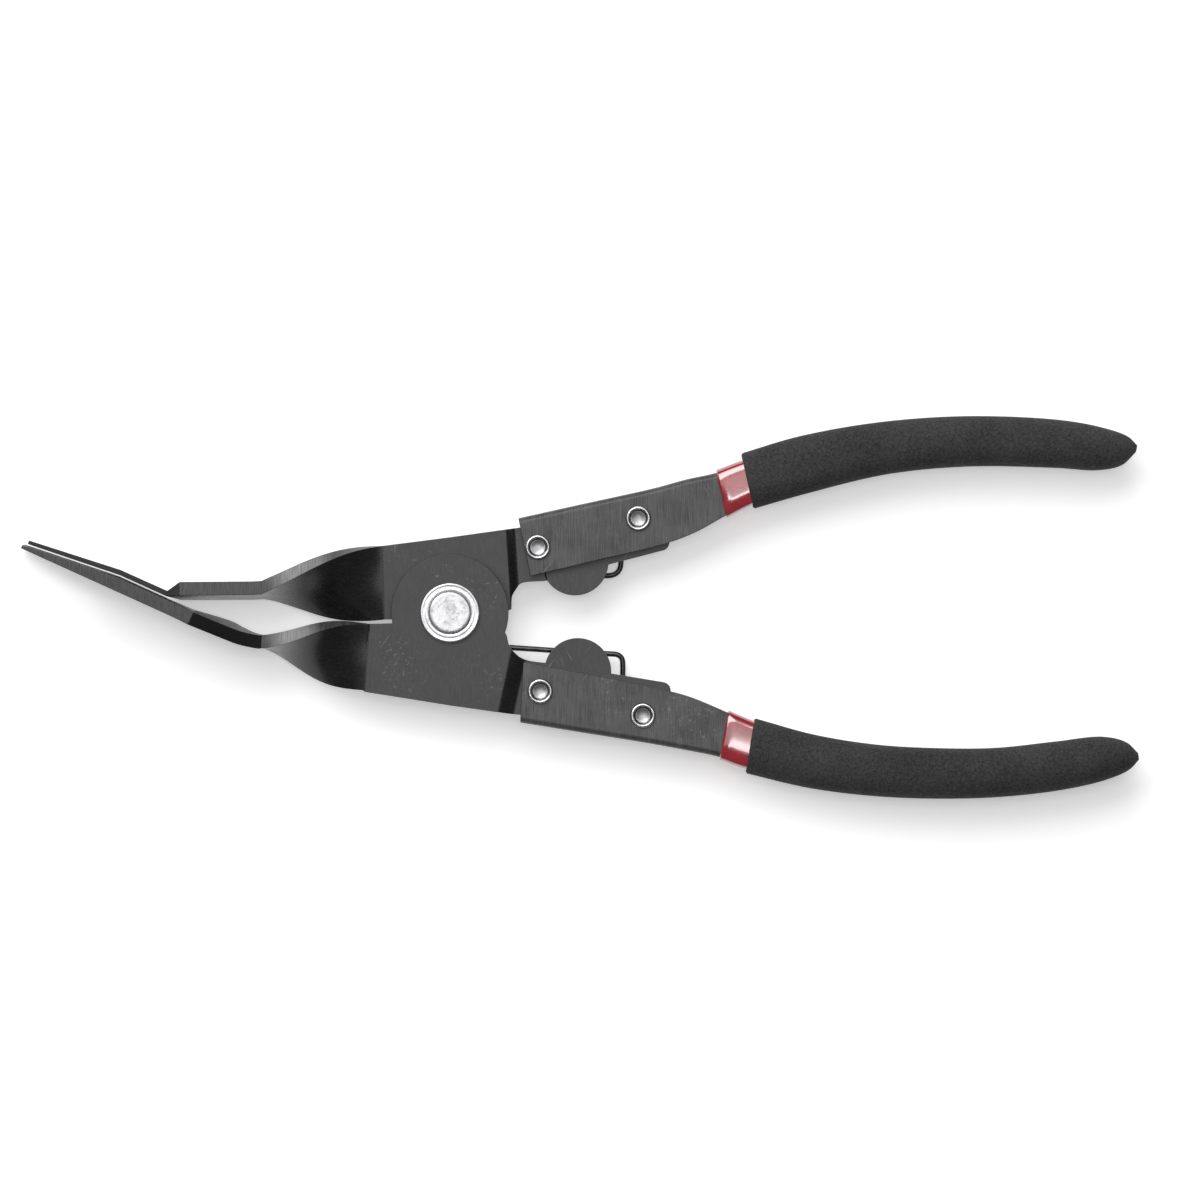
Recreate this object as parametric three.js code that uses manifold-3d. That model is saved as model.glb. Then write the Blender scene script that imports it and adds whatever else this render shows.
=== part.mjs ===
// Reverse-action trim-clip pliers: squeezing the handles spreads a forked, angled nose.
// Units are millimetres.  +X runs from the nose to the handles, +Y from the lower half to the
// upper half, +Z away from the surface the tool lies on.  The origin is the pivot axis at the
// rear face of the pivot rivet.
import * as THREE from 'three';
import { mergeVertices } from 'three/addons/utils/BufferGeometryUtils.js';
import Module from 'manifold-3d';

const wasm = await Module();
wasm.setup();

// ---- Driving dimensions ------------------------------------------------------------------
const MID_Z = 9;                // height of the plane between the two jaw plates
const PLATE = 2.9;              // jaw plate thickness
const PLATE_GAP = 0.3;          // running gap between the two jaw plates
const SHEET = 1.4;              // handle channel sheet thickness
const CHANNEL_HALF = 3;         // half the height of a handle channel
const BEND_R = 1.3;             // outside bend radius of a handle channel
const RUN_GAP = 0.05;           // gap between washers, plates and heads stacked on the pivot

const PIVOT_SHAFT_R = 4.03;
const PIVOT_HOLE_R = 4.1;
const FRONT_HEAD_R = 4.45;
const FRONT_HEAD_H = 0.6;
const FRONT_WASHER_R = 6.4;
const FRONT_WASHER_H = 0.85;
const REAR_HEAD_R = 5.6;
const REAR_HEAD_H = 1.6;
const REAR_WASHER_R = 8;
const REAR_WASHER_H = 1;
const COLLAR_R = 5.85;          // collar inside the spring's coil
const FRONT_BOSS_R = 12.6;      // round end of the front plate over the pivot
const REAR_BOSS_R = 12;

const RIVET_SHANK_R = 2.1;
const RIVET_HOLE_R = 2.2;
const RIVET_FLANGE_R = 2.7;
const RIVET_BORE_R = 1.6;
const TAB_R = 7.2;              // half-round squeeze stop on each tang

const NOSE_ANGLE = 24.4;        // degrees between the nose and the tool's long axis
const NOSE_START = [-56.2, -2.35]; // underside of the lower jaw where the nose begins
const NOSE_LENGTH = 39.4;
const KNEE_S = 18;              // where both forks start to be ground thinner
const TIP_THICKNESS = 0.75;
const LOWER_FORK_WIDTH = 16;
const UPPER_FORK_WIDTH = 13;
const UPPER_FORK_BACK = 0.9;    // how far the upper fork stops short of the lower one
const UPPER_FORK_TWIST = 88.6;  // degrees; the upper fork leans back from the lower one
const FORK_GAP = 0.42;          // gap between the closed forks at half their width
const SLOT_WIDTH = 7.5;
const SLOT_LENGTH = 20;

const WIRE_R = 0.6;
const COIL_R = 6.75;            // mean radius of the torsion spring's coil
const COIL_START = -93.7;       // degrees at which the lower leg meets the coil
const COIL_END = -628;          // and the upper leg, a turn and a half on

const LINER_WALL = 0.65;
const LINER_HALF = 4;           // half the height of the dipped liner
const FIT_GAP = 0.12;           // gap between channel, liner and sleeve
const SLEEVE_HALF = 6.2;        // half the height of the outer sleeve
const SLEEVE_FULL_WIDTH = 10.2; // width at which the sleeve has its full height
const SLEEVE_MOUTH = 0.86;      // height of the sleeve's mouth as a share of its full height

const FRONT_PLATE_Z = MID_Z + PLATE_GAP / 2;
const REAR_PLATE_Z = MID_Z - PLATE_GAP / 2 - PLATE;
const TANG_Z = MID_Z - PLATE / 2;
const REAR_WASHER_Z = REAR_HEAD_H + RUN_GAP;
const COLLAR_Z = REAR_WASHER_Z + REAR_WASHER_H + RUN_GAP;
const COLLAR_H = REAR_PLATE_Z - RUN_GAP - COLLAR_Z;
const FRONT_WASHER_Z = FRONT_PLATE_Z + PLATE + RUN_GAP;
const FRONT_HEAD_Z = FRONT_WASHER_Z + FRONT_WASHER_H + RUN_GAP;

const ROUND = 36;               // facets round the pivot
const SMALL_ROUND = 20;         // facets round a rivet
const WIRE_SIDES = 8;
const CUT_BOTTOM = -5;          // heights between which holes and outlines are cut
const CUT_TOP = 25;
const DEG = Math.PI / 180;

// ---- Materials ---------------------------------------------------------------------------
const steelBlack = { color: 0x4a4a4b, roughness: 0.45, metalness: 0.75 };
const steelChannel = { color: 0x5a5a5b, roughness: 0.5, metalness: 0.8 };
const steelBright = { color: 0xd8d8d6, roughness: 0.3, metalness: 1 };
const springSteel = { color: 0x1c1c1c, roughness: 0.35, metalness: 0.8 };
const redVinyl = { color: 0xb81c30, roughness: 0.2, metalness: 0 };
const blackRubber = { color: 0x2b2b2b, roughness: 0.9, metalness: 0 };

// ---- Solid helpers -----------------------------------------------------------------------
function indexed(geometry) {
  const bare = geometry.clone();
  bare.deleteAttribute('normal');
  bare.deleteAttribute('uv');
  return mergeVertices(bare, 1e-5);
}

function toSolid(geometry) {
  const merged = indexed(geometry);
  const corners = Array.from(merged.index.array);
  const kept = [];
  for (let i = 0; i < corners.length; i += 3) {
    const [a, b, c] = corners.slice(i, i + 3);
    if (a !== b && b !== c && c !== a) kept.push(a, b, c);
  }
  return new wasm.Manifold(new wasm.Mesh({
    numProp: 3,
    vertProperties: new Float32Array(merged.attributes.position.array),
    triVerts: new Uint32Array(kept),
  }));
}

function fromSolid(solid) {
  const mesh = solid.getMesh();
  const geometry = new THREE.BufferGeometry();
  geometry.setAttribute('position', new THREE.BufferAttribute(mesh.vertProperties, 3));
  geometry.setIndex(new THREE.BufferAttribute(mesh.triVerts, 1));
  return geometry;
}

// Volume enclosed by a triangle mesh; negative when its faces point inwards.
function signedVolume(positions, triangles) {
  const [a, b, c] = [new THREE.Vector3(), new THREE.Vector3(), new THREE.Vector3()];
  let volume = 0;
  for (let i = 0; i < triangles.length; i += 3) {
    a.fromArray(positions, 3 * triangles[i]);
    b.fromArray(positions, 3 * triangles[i + 1]);
    c.fromArray(positions, 3 * triangles[i + 2]);
    volume += a.dot(b.cross(c)) / 6;
  }
  return volume;
}

// A closed solid skinned over sections that all carry the same anticlockwise outline of Vector2.
// Each section is the list of that outline's points in space.
function skin(outline, sections) {
  const count = outline.length;
  const positions = sections.flat().flatMap((p) => [p.x, p.y, p.z]);
  const triangles = [];
  for (let s = 0; s + 1 < sections.length; s += 1) {
    for (let i = 0; i < count; i += 1) {
      const next = (i + 1) % count;
      const [a, b] = [s * count + i, s * count + next];
      triangles.push(a, b, b + count, a, b + count, a + count);
    }
  }
  const last = (sections.length - 1) * count;
  for (const [a, b, c] of THREE.ShapeUtils.triangulateShape(outline, [])) {
    triangles.push(c, b, a, last + a, last + b, last + c);
  }
  if (signedVolume(positions, triangles) < 0) triangles.reverse();
  const geometry = new THREE.BufferGeometry();
  geometry.setAttribute('position', new THREE.Float32BufferAttribute(positions, 3));
  geometry.setIndex(triangles);
  return geometry;
}

function extruded(shape, bottom, top, curveSegments = 12) {
  const geometry = new THREE.ExtrudeGeometry(shape, {
    depth: top - bottom, bevelEnabled: false, curveSegments,
  });
  return geometry.translate(0, 0, bottom);
}

function disc(x, y, radius, bottom, top, facets) {
  const shape = new THREE.Shape();
  shape.absarc(x, y, radius, 0, 2 * Math.PI);
  return extruded(shape, bottom, top, facets);
}

// A turned piece about the vertical through (x, y); the profile is a list of [radius, height].
function turned(profile, facets, x = 0, y = 0) {
  const points = profile.map(([radius, height]) => new THREE.Vector2(radius, height));
  const geometry = new THREE.LatheGeometry(points, facets).rotateX(Math.PI / 2);
  return geometry.translate(x, y, 0);
}

// A ring round the pivot's shaft with its outer edges broken.
function washer(outer, bottom, height) {
  const edge = 0.15;
  const top = bottom + height;
  return turned([
    [PIVOT_HOLE_R, bottom], [outer - edge, bottom], [outer, bottom + edge],
    [outer, top - edge], [outer - edge, top], [PIVOT_HOLE_R, top], [PIVOT_HOLE_R, bottom],
  ], ROUND);
}

function smoothstep(t) {
  const u = Math.min(Math.max(t, 0), 1);
  return u * u * (3 - 2 * u);
}

function lerp(a, b, t) {
  return a + (b - a) * t;
}

// ---- Jaw plates --------------------------------------------------------------------------
// A flat sheet with a joggle: it steps from one height to the tang's height across a bend whose
// line stands at bendAngle to the Y axis, between the distances start and end from the pivot.
function joggledSheet(plateZ, bendAngle, start, end) {
  const far = 120;
  const steps = 4;
  const lower = [[-far, plateZ]];
  for (let i = 0; i <= steps; i += 1) {
    const t = i / steps;
    lower.push([lerp(start, end, t), lerp(plateZ, TANG_Z, smoothstep(t))]);
  }
  lower.push([far, TANG_Z]);
  const upper = lower.map(([d, z]) => [d, z + PLATE]).reverse();
  const shape = new THREE.Shape([...lower, ...upper].map(([d, z]) => new THREE.Vector2(d, z)));
  const geometry = extruded(shape, -far, far);
  return geometry.rotateX(Math.PI / 2).rotateZ(bendAngle * DEG);
}

// One section of a jaw strap: a rectangle about a centre, turned by twist degrees from lying
// flat (width along Y) to standing on edge (width along Z).
function strapSection({ x, y, z, heading, twist, width, thickness, lean = 0 }) {
  const along = heading * DEG;
  const across = new THREE.Vector3(Math.sin(along), Math.cos(along), 0);
  const up = new THREE.Vector3(0, 0, 1);
  const cos = Math.cos(twist * DEG);
  const sin = Math.sin(twist * DEG);
  const wide = across.clone().multiplyScalar(cos).addScaledVector(up, sin);
  wide.x += lean * cos;
  const thick = across.clone().multiplyScalar(-sin).addScaledVector(up, cos);
  const corners = [[-1, -1], [1, -1], [1, 1], [-1, 1]];
  return corners.map(([w, t]) => new THREE.Vector3(x, y, z)
    .addScaledVector(wide, (w * width) / 2)
    .addScaledVector(thick, (t * thickness) / 2));
}

const strapOutline = [[-1, -1], [1, -1], [1, 1], [-1, 1]].map(([u, v]) => new THREE.Vector2(u, v));

// Directions along the nose and square to it; s is measured along it from NOSE_START.
const noseAlong = [-Math.cos(NOSE_ANGLE * DEG), Math.sin(NOSE_ANGLE * DEG)];
const noseUp = [Math.sin(NOSE_ANGLE * DEG), Math.cos(NOSE_ANGLE * DEG)];

function lowerForkThickness(s) {
  return lerp(PLATE, TIP_THICKNESS, Math.max(0, (s - KNEE_S) / (NOSE_LENGTH - KNEE_S)));
}

function nosePoint(s, height) {
  return {
    x: NOSE_START[0] + s * noseAlong[0] + height * noseUp[0],
    y: NOSE_START[1] + s * noseAlong[1] + height * noseUp[1],
  };
}

function lowerStrap() {
  const stations = [];
  const root = { x: -15.5, y: -9.75 };
  const twistStart = -17;
  const twistEnd = -41;
  const strapWidth = 14.2;
  const easing = 0.7;           // share of the twist that eases in and out
  const centre = new THREE.CatmullRomCurve3([
    [root.x, root.y], [twistStart, -9.65], [-26.7, -8.5], [-33, -7.5], [-37, -6.75], [-40.4, -6.25],
  ].map(([x, y]) => new THREE.Vector3(x, y, 0)));
  stations.push({ ...root, z: FRONT_PLATE_Z + PLATE / 2, heading: 0, twist: 0, lean: 0.1 });
  const steps = 12;
  for (let i = 0; i <= steps; i += 1) {
    const t = i / steps;
    const x = lerp(twistStart, twistEnd, t);
    const onCurve = centre.getPoint(curveParameter(centre, x));
    stations.push({
      x,
      y: onCurve.y,
      z: lerp(FRONT_PLATE_Z + PLATE / 2, MID_Z, smoothstep(t)),
      heading: lerp(0, 4, t),
      twist: 90 * lerp(t, smoothstep(t), easing),
      lean: 0.1 * (1 - t),
    });
  }
  for (const station of stations) {
    station.width = strapWidth;
    station.thickness = PLATE;
  }
  // The strap sweeps up from the twist to the nose while its edges flare to the fork's width.
  const bend = [[-43, -5.75, 12, 91], [-45.5, -4.85, 19.5, 93], [-48.3, -3.6, 24.4, 94]];
  for (const [x, y, heading, twist] of bend) {
    const flare = (x - twistEnd) / (NOSE_START[0] - twistEnd);
    const width = lerp(strapWidth, LOWER_FORK_WIDTH, flare);
    stations.push({ x, y, z: MID_Z, heading, twist, width, thickness: PLATE });
  }
  for (const [s, twist] of [[0, 91], [4, 90], [KNEE_S, 90], [NOSE_LENGTH, 90]]) {
    const thickness = lowerForkThickness(s);
    stations.push({
      ...nosePoint(s, thickness / 2),
      z: MID_Z,
      heading: NOSE_ANGLE,
      twist,
      width: LOWER_FORK_WIDTH,
      thickness,
    });
  }
  return skin(strapOutline, stations.map(strapSection));
}

// The parameter at which a left-going curve passes x.
function curveParameter(curve, x) {
  let [low, high] = [0, 1];
  for (let i = 0; i < 30; i += 1) {
    const middle = (low + high) / 2;
    if (curve.getPoint(middle).x > x) low = middle;
    else high = middle;
  }
  return (low + high) / 2;
}

function upperStrap() {
  const stations = [];
  const rootZ = REAR_PLATE_Z + PLATE / 2;
  const twistStart = -14;
  const twistEnd = -40.4;
  const fullTwist = 85.4;
  const easing = 0.35;
  const strapWidth = 15.8;
  const centre = new THREE.CatmullRomCurve3([
    [-11.5, 6.45], [twistStart, 6.4], [-20, 6.05], [-25.8, 5.75], [-32.3, 5.55], [-38.7, 5.1],
    [-40.6, 4.8],
  ].map(([x, y]) => new THREE.Vector3(x, y, 0)));
  stations.push({ x: -11.5, y: 6.45, z: rootZ, twist: 0, lean: -0.07 });
  const steps = 12;
  for (let i = 0; i <= steps; i += 1) {
    const t = i / steps;
    const x = lerp(twistStart, twistEnd, t);
    stations.push({
      x,
      y: centre.getPoint(curveParameter(centre, x)).y,
      z: lerp(rootZ, MID_Z, smoothstep(t)),
      twist: fullTwist * lerp(t, smoothstep(t), easing),
      lean: -0.07 * (1 - t),
    });
  }
  stations.push({ x: -42.5, y: 4.72, z: MID_Z, twist: fullTwist });
  stations.push({ x: -58, y: 4.6, z: MID_Z, twist: fullTwist });
  for (const station of stations) {
    station.heading = 0;
    station.width = strapWidth;
    station.thickness = PLATE;
  }
  // Past the strap the jaw drops onto the lower fork and is ground down to a thin upper fork.
  const fork = [[7, 1.14], [12, 1.12], [KNEE_S, 1.1], [NOSE_LENGTH - UPPER_FORK_BACK, 0.8]];
  for (const [s, thickness] of fork) {
    const height = lowerForkThickness(s) + FORK_GAP + thickness / 2;
    stations.push({
      ...nosePoint(s, height),
      z: MID_Z,
      heading: NOSE_ANGLE,
      twist: UPPER_FORK_TWIST,
      width: UPPER_FORK_WIDTH,
      thickness,
    });
  }
  return skin(strapOutline, stations.map(strapSection));
}

// The slot between a fork's two tines, cut square to the nose with a round inner end.
function forkSlot() {
  const half = SLOT_WIDTH / 2;
  const deep = 12;
  const shape = new THREE.Shape();
  shape.moveTo(-deep, -half);
  shape.lineTo(SLOT_LENGTH - half, -half);
  shape.absarc(SLOT_LENGTH - half, 0, half, -Math.PI / 2, Math.PI / 2);
  shape.lineTo(-deep, half);
  const tip = nosePoint(NOSE_LENGTH, 0);
  const geometry = extruded(shape, -deep, deep);
  geometry.rotateX(Math.PI / 2).rotateZ(-NOSE_ANGLE * DEG);
  return geometry.translate(tip.x, tip.y, MID_Z);
}

function plateOutline(points) {
  const shape = new THREE.Shape();
  for (const [i, step] of points.entries()) {
    if (i === 0) shape.moveTo(...step);
    else if (step.length === 2) shape.lineTo(...step);
    else shape.absarc(...step);
  }
  return shape;
}

function rivetHole(x, y) {
  return toSolid(disc(x, y, RIVET_HOLE_R, CUT_BOTTOM, CUT_TOP, SMALL_ROUND));
}

function jawHalf({ outline, plateZ, joggle, strap, tab, rivets }) {
  const tall = toSolid(extruded(plateOutline(outline), CUT_BOTTOM, CUT_TOP, ROUND));
  let solid = tall.intersect(toSolid(joggledSheet(plateZ, ...joggle)));
  solid = solid.add(toSolid(disc(...tab, TAB_R, TANG_Z, TANG_Z + PLATE, ROUND)));
  solid = solid.add(toSolid(strap));
  solid = solid.subtract(toSolid(disc(0, 0, PIVOT_HOLE_R, CUT_BOTTOM, CUT_TOP, ROUND)));
  for (const [x, y] of rivets) {
    solid = solid.subtract(rivetHole(x, y));
  }
  return fromSolid(solid.subtract(toSolid(forkSlot())));
}

const lowerRivets = [[19.4, -16.9], [41.5, -22.1]];
const upperRivets = [[18.9, 14.1], [40.5, 20.3]];

const lowerJaw = jawHalf({
  outline: [
    [-17.2, -2.4], [-12.4, -2.32],
    [0, 0, FRONT_BOSS_R, 190.5 * DEG, -20 * DEG, true],
    [12.2, -4.9], [12.8, -7.2], [13.8, -8.5], [15.3, -9.75], [17.2, -10.4], [20.6, -10.85],
    [34.2, -13.05], [45.9, -14.97],
    [45.7, -16.77, 1.8, 80 * DEG, -10 * DEG, true],
    [45.9, -27], [15.4, -22], [13.4, -21.85], [0, -19.95], [-9, -18.5], [-18.2, -17.05],
  ],
  plateZ: FRONT_PLATE_Z,
  joggle: [-12.1, 14.2, 18.4],
  strap: lowerStrap(),
  tab: [27.5, -12.7],
  rivets: lowerRivets,
});

const upperJaw = jawHalf({
  outline: [
    [-14, -1.5], [-11.9, -1.5],
    [0, 0, REAR_BOSS_R, 187.2 * DEG, 361 * DEG, false],
    [13.2, 0.7], [13.4, 3.6], [14.2, 5], [15, 6.1], [16, 6.5], [20.4, 6.8],
    [33.6, 10.2], [45.6, 13.3],
    [45.4, 15.1, 1.8, -76 * DEG, 14 * DEG, false],
    [44.8, 25.2], [15.1, 18.3], [13.6, 18.1], [0, 16.2], [-14.4, 14.35],
  ],
  plateZ: REAR_PLATE_Z,
  joggle: [3.8, 13.1, 15.2],
  strap: upperStrap(),
  tab: [26.9, 10.9],
  rivets: upperRivets,
});

// ---- Handles -----------------------------------------------------------------------------
// A handle piece is skinned over stations, each a pair of points: one on its outer edge and one
// on its inner edge.  Section points are [share of the way from outer to inner, offset from
// there in millimetres towards the inner edge, height from the middle plane].
function handleSkin(stations, section) {
  const outline = section.map(([share, offset, z]) => new THREE.Vector2(share * 10 + offset, z));
  const sections = stations.map(([ox, oy, ix, iy]) => {
    const inward = new THREE.Vector3(ix - ox, iy - oy, 0);
    const unit = inward.clone().normalize();
    return section.map(([share, offset, z]) => new THREE.Vector3(ox, oy, MID_Z + z)
      .addScaledVector(inward, share)
      .addScaledVector(unit, offset));
  });
  return skin(outline, sections);
}

// Pairs of points moved apart by a distance.
function widened(stations, distance) {
  return stations.map(([ox, oy, ix, iy]) => {
    const length = Math.hypot(ix - ox, iy - oy);
    const [ux, uy] = [(ix - ox) / length, (iy - oy) / length];
    return [ox - ux * distance, oy - uy * distance, ix + ux * distance, iy + uy * distance];
  });
}

// A U of bent sheet: web along the outer edge, flanges above and below, open inwards.
function channelSection() {
  const points = [];
  const arc = 4;
  for (let i = 0; i <= arc; i += 1) {
    const angle = (i / arc) * (Math.PI / 2);
    const offset = BEND_R * (1 - Math.sin(angle));
    points.push([0, offset, CHANNEL_HALF - BEND_R * (1 - Math.cos(angle))]);
  }
  const web = points.map(([share, offset, z]) => [share, offset, -z]).reverse();
  const inner = CHANNEL_HALF - SHEET;
  return [
    [1, 0, CHANNEL_HALF], ...points, ...web, [1, 0, -CHANNEL_HALF],
    [1, 0, -inner], [0, SHEET, -inner], [0, SHEET, inner], [1, 0, inner],
  ];
}

function boxSection(half) {
  return [[0, 0, -half], [1, 0, -half], [1, 0, half], [0, 0, half]];
}

// A rounded section: power 2 is an ellipse, larger powers are squarer.
function roundSection(half, power, facets) {
  const points = [];
  for (let i = 0; i < facets; i += 1) {
    const angle = (i / facets) * 2 * Math.PI;
    const [c, s] = [Math.cos(angle), Math.sin(angle)];
    const share = 0.5 + 0.5 * Math.sign(c) * Math.abs(c) ** (2 / power);
    points.push([share, 0, half * Math.sign(s) * Math.abs(s) ** (2 / power)]);
  }
  return points;
}

// Evenly spread stations on smooth curves through a handle's edge points.
function smoothStations(stations, steps) {
  const outer = new THREE.CatmullRomCurve3(stations.map((p) => new THREE.Vector3(p[0], p[1], 0)));
  const inner = new THREE.CatmullRomCurve3(stations.map((p) => new THREE.Vector3(p[2], p[3], 0)));
  const result = [];
  for (let i = 0; i <= steps; i += 1) {
    const [o, n] = [outer.getPoint(i / steps), inner.getPoint(i / steps)];
    result.push([o.x, o.y, n.x, n.y]);
  }
  return result;
}

function sleeveSkin(stations) {
  const facets = 20;
  const count = stations.length;
  const outline = [];
  const sections = stations.map(([ox, oy, ix, iy], index) => {
    // The sleeve is fullest in the middle and rounds off at the tip, in step with its width.
    const width = Math.hypot(ix - ox, iy - oy);
    const fullness = Math.min(1, width / SLEEVE_FULL_WIDTH);
    const mouth = lerp(SLEEVE_MOUTH, 1, smoothstep(index / (count * 0.3)));
    const half = SLEEVE_HALF * fullness * mouth;
    return roundSection(half, 2.3, facets).map(([share, , z]) => new THREE.Vector3(
      lerp(ox, ix, share), lerp(oy, iy, share), MID_Z + z,
    ));
  });
  for (const [share, , z] of roundSection(5, 2.3, facets)) {
    outline.push(new THREE.Vector2(share * 10, z));
  }
  return skin(outline, sections);
}

function handle({ straight, covered, grip, rivets }) {
  const channelStations = [...straight, ...smoothStations(covered, 8)];
  let channel = toSolid(handleSkin(channelStations, channelSection()));
  for (const [x, y] of rivets) {
    channel = channel.subtract(rivetHole(x, y));
  }

  const linerStations = smoothStations(covered, 8);
  const beyond = extend(linerStations, 1.6);
  const before = [straight.at(-1), ...linerStations];
  const clearance = CHANNEL_HALF + FIT_GAP;
  const cavity = toSolid(handleSkin(
    widened(extend(before, 0.4), FIT_GAP), boxSection(clearance),
  ));
  const linerOuter = widened(beyond, LINER_WALL);
  const linerSolid = toSolid(handleSkin(linerOuter, roundSection(LINER_HALF, 5, 20)));

  const sleeveCavity = toSolid(handleSkin(
    widened(extend([straight.at(-1), ...beyond], 0.3), LINER_WALL + FIT_GAP),
    roundSection(LINER_HALF + FIT_GAP, 5, 20),
  ));
  const sleeve = toSolid(sleeveSkin(smoothStations(grip, 16)));
  return {
    channel,
    liner: fromSolid(linerSolid.subtract(cavity)),
    sleeve: fromSolid(sleeve.subtract(sleeveCavity)),
  };
}

// The stations with one more past the last, in the direction in which they run.
function extend(stations, distance) {
  const [a, b] = [stations.at(-2), stations.at(-1)];
  const middle = ([ox, oy, ix, iy]) => [(ox + ix) / 2, (oy + iy) / 2];
  const [am, bm] = [middle(a), middle(b)];
  const length = Math.hypot(bm[0] - am[0], bm[1] - am[1]);
  const dx = ((bm[0] - am[0]) / length) * distance;
  const dy = ((bm[1] - am[1]) / length) * distance;
  return [...stations, [b[0] + dx, b[1] + dy, b[2] + dx, b[3] + dy]];
}

const upperHandle = handle({
  straight: [
    [14.7, 20.3, 17.4, 7.9], [28.4, 23.35, 31.2, 11.2], [44, 26.8, 46.9, 15],
    [51, 28.7, 53.1, 17.4],
  ],
  covered: [
    [57.3, 30.1, 59.4, 20.9], [62.9, 32.2, 65, 23.7], [76, 36, 77.5, 28.6], [93, 39, 93.9, 32.3],
    [111.4, 40.1, 111.5, 33.8], [130, 39.2, 129.4, 33.5], [138.5, 37.7, 137.5, 32.7],
  ],
  grip: [
    [62.6, 34.25, 65.3, 22.3], [74.9, 37.9, 77.6, 25.8], [92, 40.95, 94.2, 29.75],
    [111.3, 42.3, 111.6, 31.4], [131.9, 41.4, 130.4, 31.1], [141.5, 39.55, 139.4, 30.6],
    [146, 37.85, 144.6, 31.7], [147.9, 36, 147.6, 34.5],
  ],
  rivets: upperRivets,
});

const lowerHandle = handle({
  straight: [
    [15.1, -23.65, 15.8, -10.7], [28, -25.75, 28.8, -13.1], [42, -28, 43.2, -16],
    [50, -29.45, 51.6, -18.15],
  ],
  covered: [
    [58, -31.1, 59.8, -21.55], [63.7, -33.1, 65.2, -23.8], [77, -35.6, 78.2, -28.1],
    [90.7, -37.4, 91.3, -30.7], [104.4, -38.1, 104.5, -31.5], [118.1, -37.4, 117.6, -31.1],
    [131.8, -35.5, 130.9, -30], [138.5, -33.8, 137.6, -29],
  ],
  grip: [
    [63.6, -34.6, 65.5, -22.7], [77, -37.75, 78.6, -26.3], [90.7, -39.5, 91.8, -28.4],
    [104.4, -40.1, 104.6, -29.15], [118.1, -39.75, 117.4, -29.1], [131.8, -38.2, 130.2, -27.75],
    [141.5, -35.95, 140.5, -26.7], [146.3, -33.8, 145.6, -27.9], [148.3, -31.7, 148.1, -30.2],
  ],
  rivets: lowerRivets,
});

// ---- Torsion spring ----------------------------------------------------------------------
// One wire: a tail hooked up into the lower handle's far flange, the lower leg, a coil round
// the collar, the upper leg and a tail hooked into the upper handle's far flange.
const LOWER_LEG_Z = COLLAR_Z + WIRE_R + 0.05;
const COIL_PITCH = 2 * WIRE_R + 0.06;
const UPPER_LEG_Z = LOWER_LEG_Z + ((COIL_START - COIL_END) / 360) * COIL_PITCH;
const HOOK_TOP_Z = MID_Z - CHANNEL_HALF + SHEET - 0.1;
const HOOK_HOLE_R = 0.85;
const lowerHook = [37.2, -18.6];
const upperHook = [36.8, 16.4];

function springPath() {
  const points = [];
  const add = (x, y, z) => points.push(new THREE.Vector3(x, y, z));
  add(...lowerHook, HOOK_TOP_Z);
  add(...lowerHook, LOWER_LEG_Z + 1.2);
  add(lowerHook[0], lowerHook[1] + 0.4, LOWER_LEG_Z + 0.35);
  add(lowerHook[0], lowerHook[1] + 1.2, LOWER_LEG_Z);
  add(37.2, -11.8, LOWER_LEG_Z);
  add(36.7, -10.3, LOWER_LEG_Z);
  add(35.4, -9.3, LOWER_LEG_Z);
  add(33.2, -8.95, LOWER_LEG_Z);
  add(21.5, -8.2, LOWER_LEG_Z);
  const steps = 36;
  for (let i = 0; i <= steps; i += 1) {
    const angle = lerp(COIL_START, COIL_END, i / steps) * DEG;
    const z = lerp(LOWER_LEG_Z, UPPER_LEG_Z, i / steps);
    add(COIL_R * Math.cos(angle), COIL_R * Math.sin(angle), z);
  }
  add(19, 7.4, UPPER_LEG_Z);
  add(31, 7.8, UPPER_LEG_Z);
  add(33.6, 8.1, UPPER_LEG_Z);
  add(35.5, 8.8, UPPER_LEG_Z);
  add(36.5, 9.9, UPPER_LEG_Z);
  add(36.8, 11.4, UPPER_LEG_Z);
  add(upperHook[0], upperHook[1] - 0.6, UPPER_LEG_Z);
  add(upperHook[0], upperHook[1] - 0.1, UPPER_LEG_Z + 0.3);
  add(...upperHook, UPPER_LEG_Z + 0.8);
  add(...upperHook, HOOK_TOP_Z);
  return points;
}

// A round wire swept along points, with a frame carried along so that it doesn't twist.
function wire(points, radius, sides) {
  const outline = [];
  for (let i = 0; i < sides; i += 1) {
    const angle = (i / sides) * 2 * Math.PI;
    outline.push(new THREE.Vector2(radius * Math.cos(angle), radius * Math.sin(angle)));
  }
  let normal = new THREE.Vector3(1, 0, 0);
  const sections = points.map((point, i) => {
    const before = points[Math.max(i - 1, 0)];
    const after = points[Math.min(i + 1, points.length - 1)];
    const tangent = after.clone().sub(before).normalize();
    normal = normal.clone().addScaledVector(tangent, -normal.dot(tangent)).normalize();
    const side = new THREE.Vector3().crossVectors(tangent, normal);
    return outline.map((p) => point.clone().addScaledVector(normal, p.x).addScaledVector(side, p.y));
  });
  return skin(outline, sections);
}

function hookHole([x, y]) {
  return toSolid(disc(x, y, HOOK_HOLE_R, 0, MID_Z - CHANNEL_HALF + SHEET + 0.1, SMALL_ROUND));
}

const upperChannel = fromSolid(upperHandle.channel.subtract(hookHole(upperHook)));
const lowerChannel = fromSolid(lowerHandle.channel.subtract(hookHole(lowerHook)));

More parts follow.
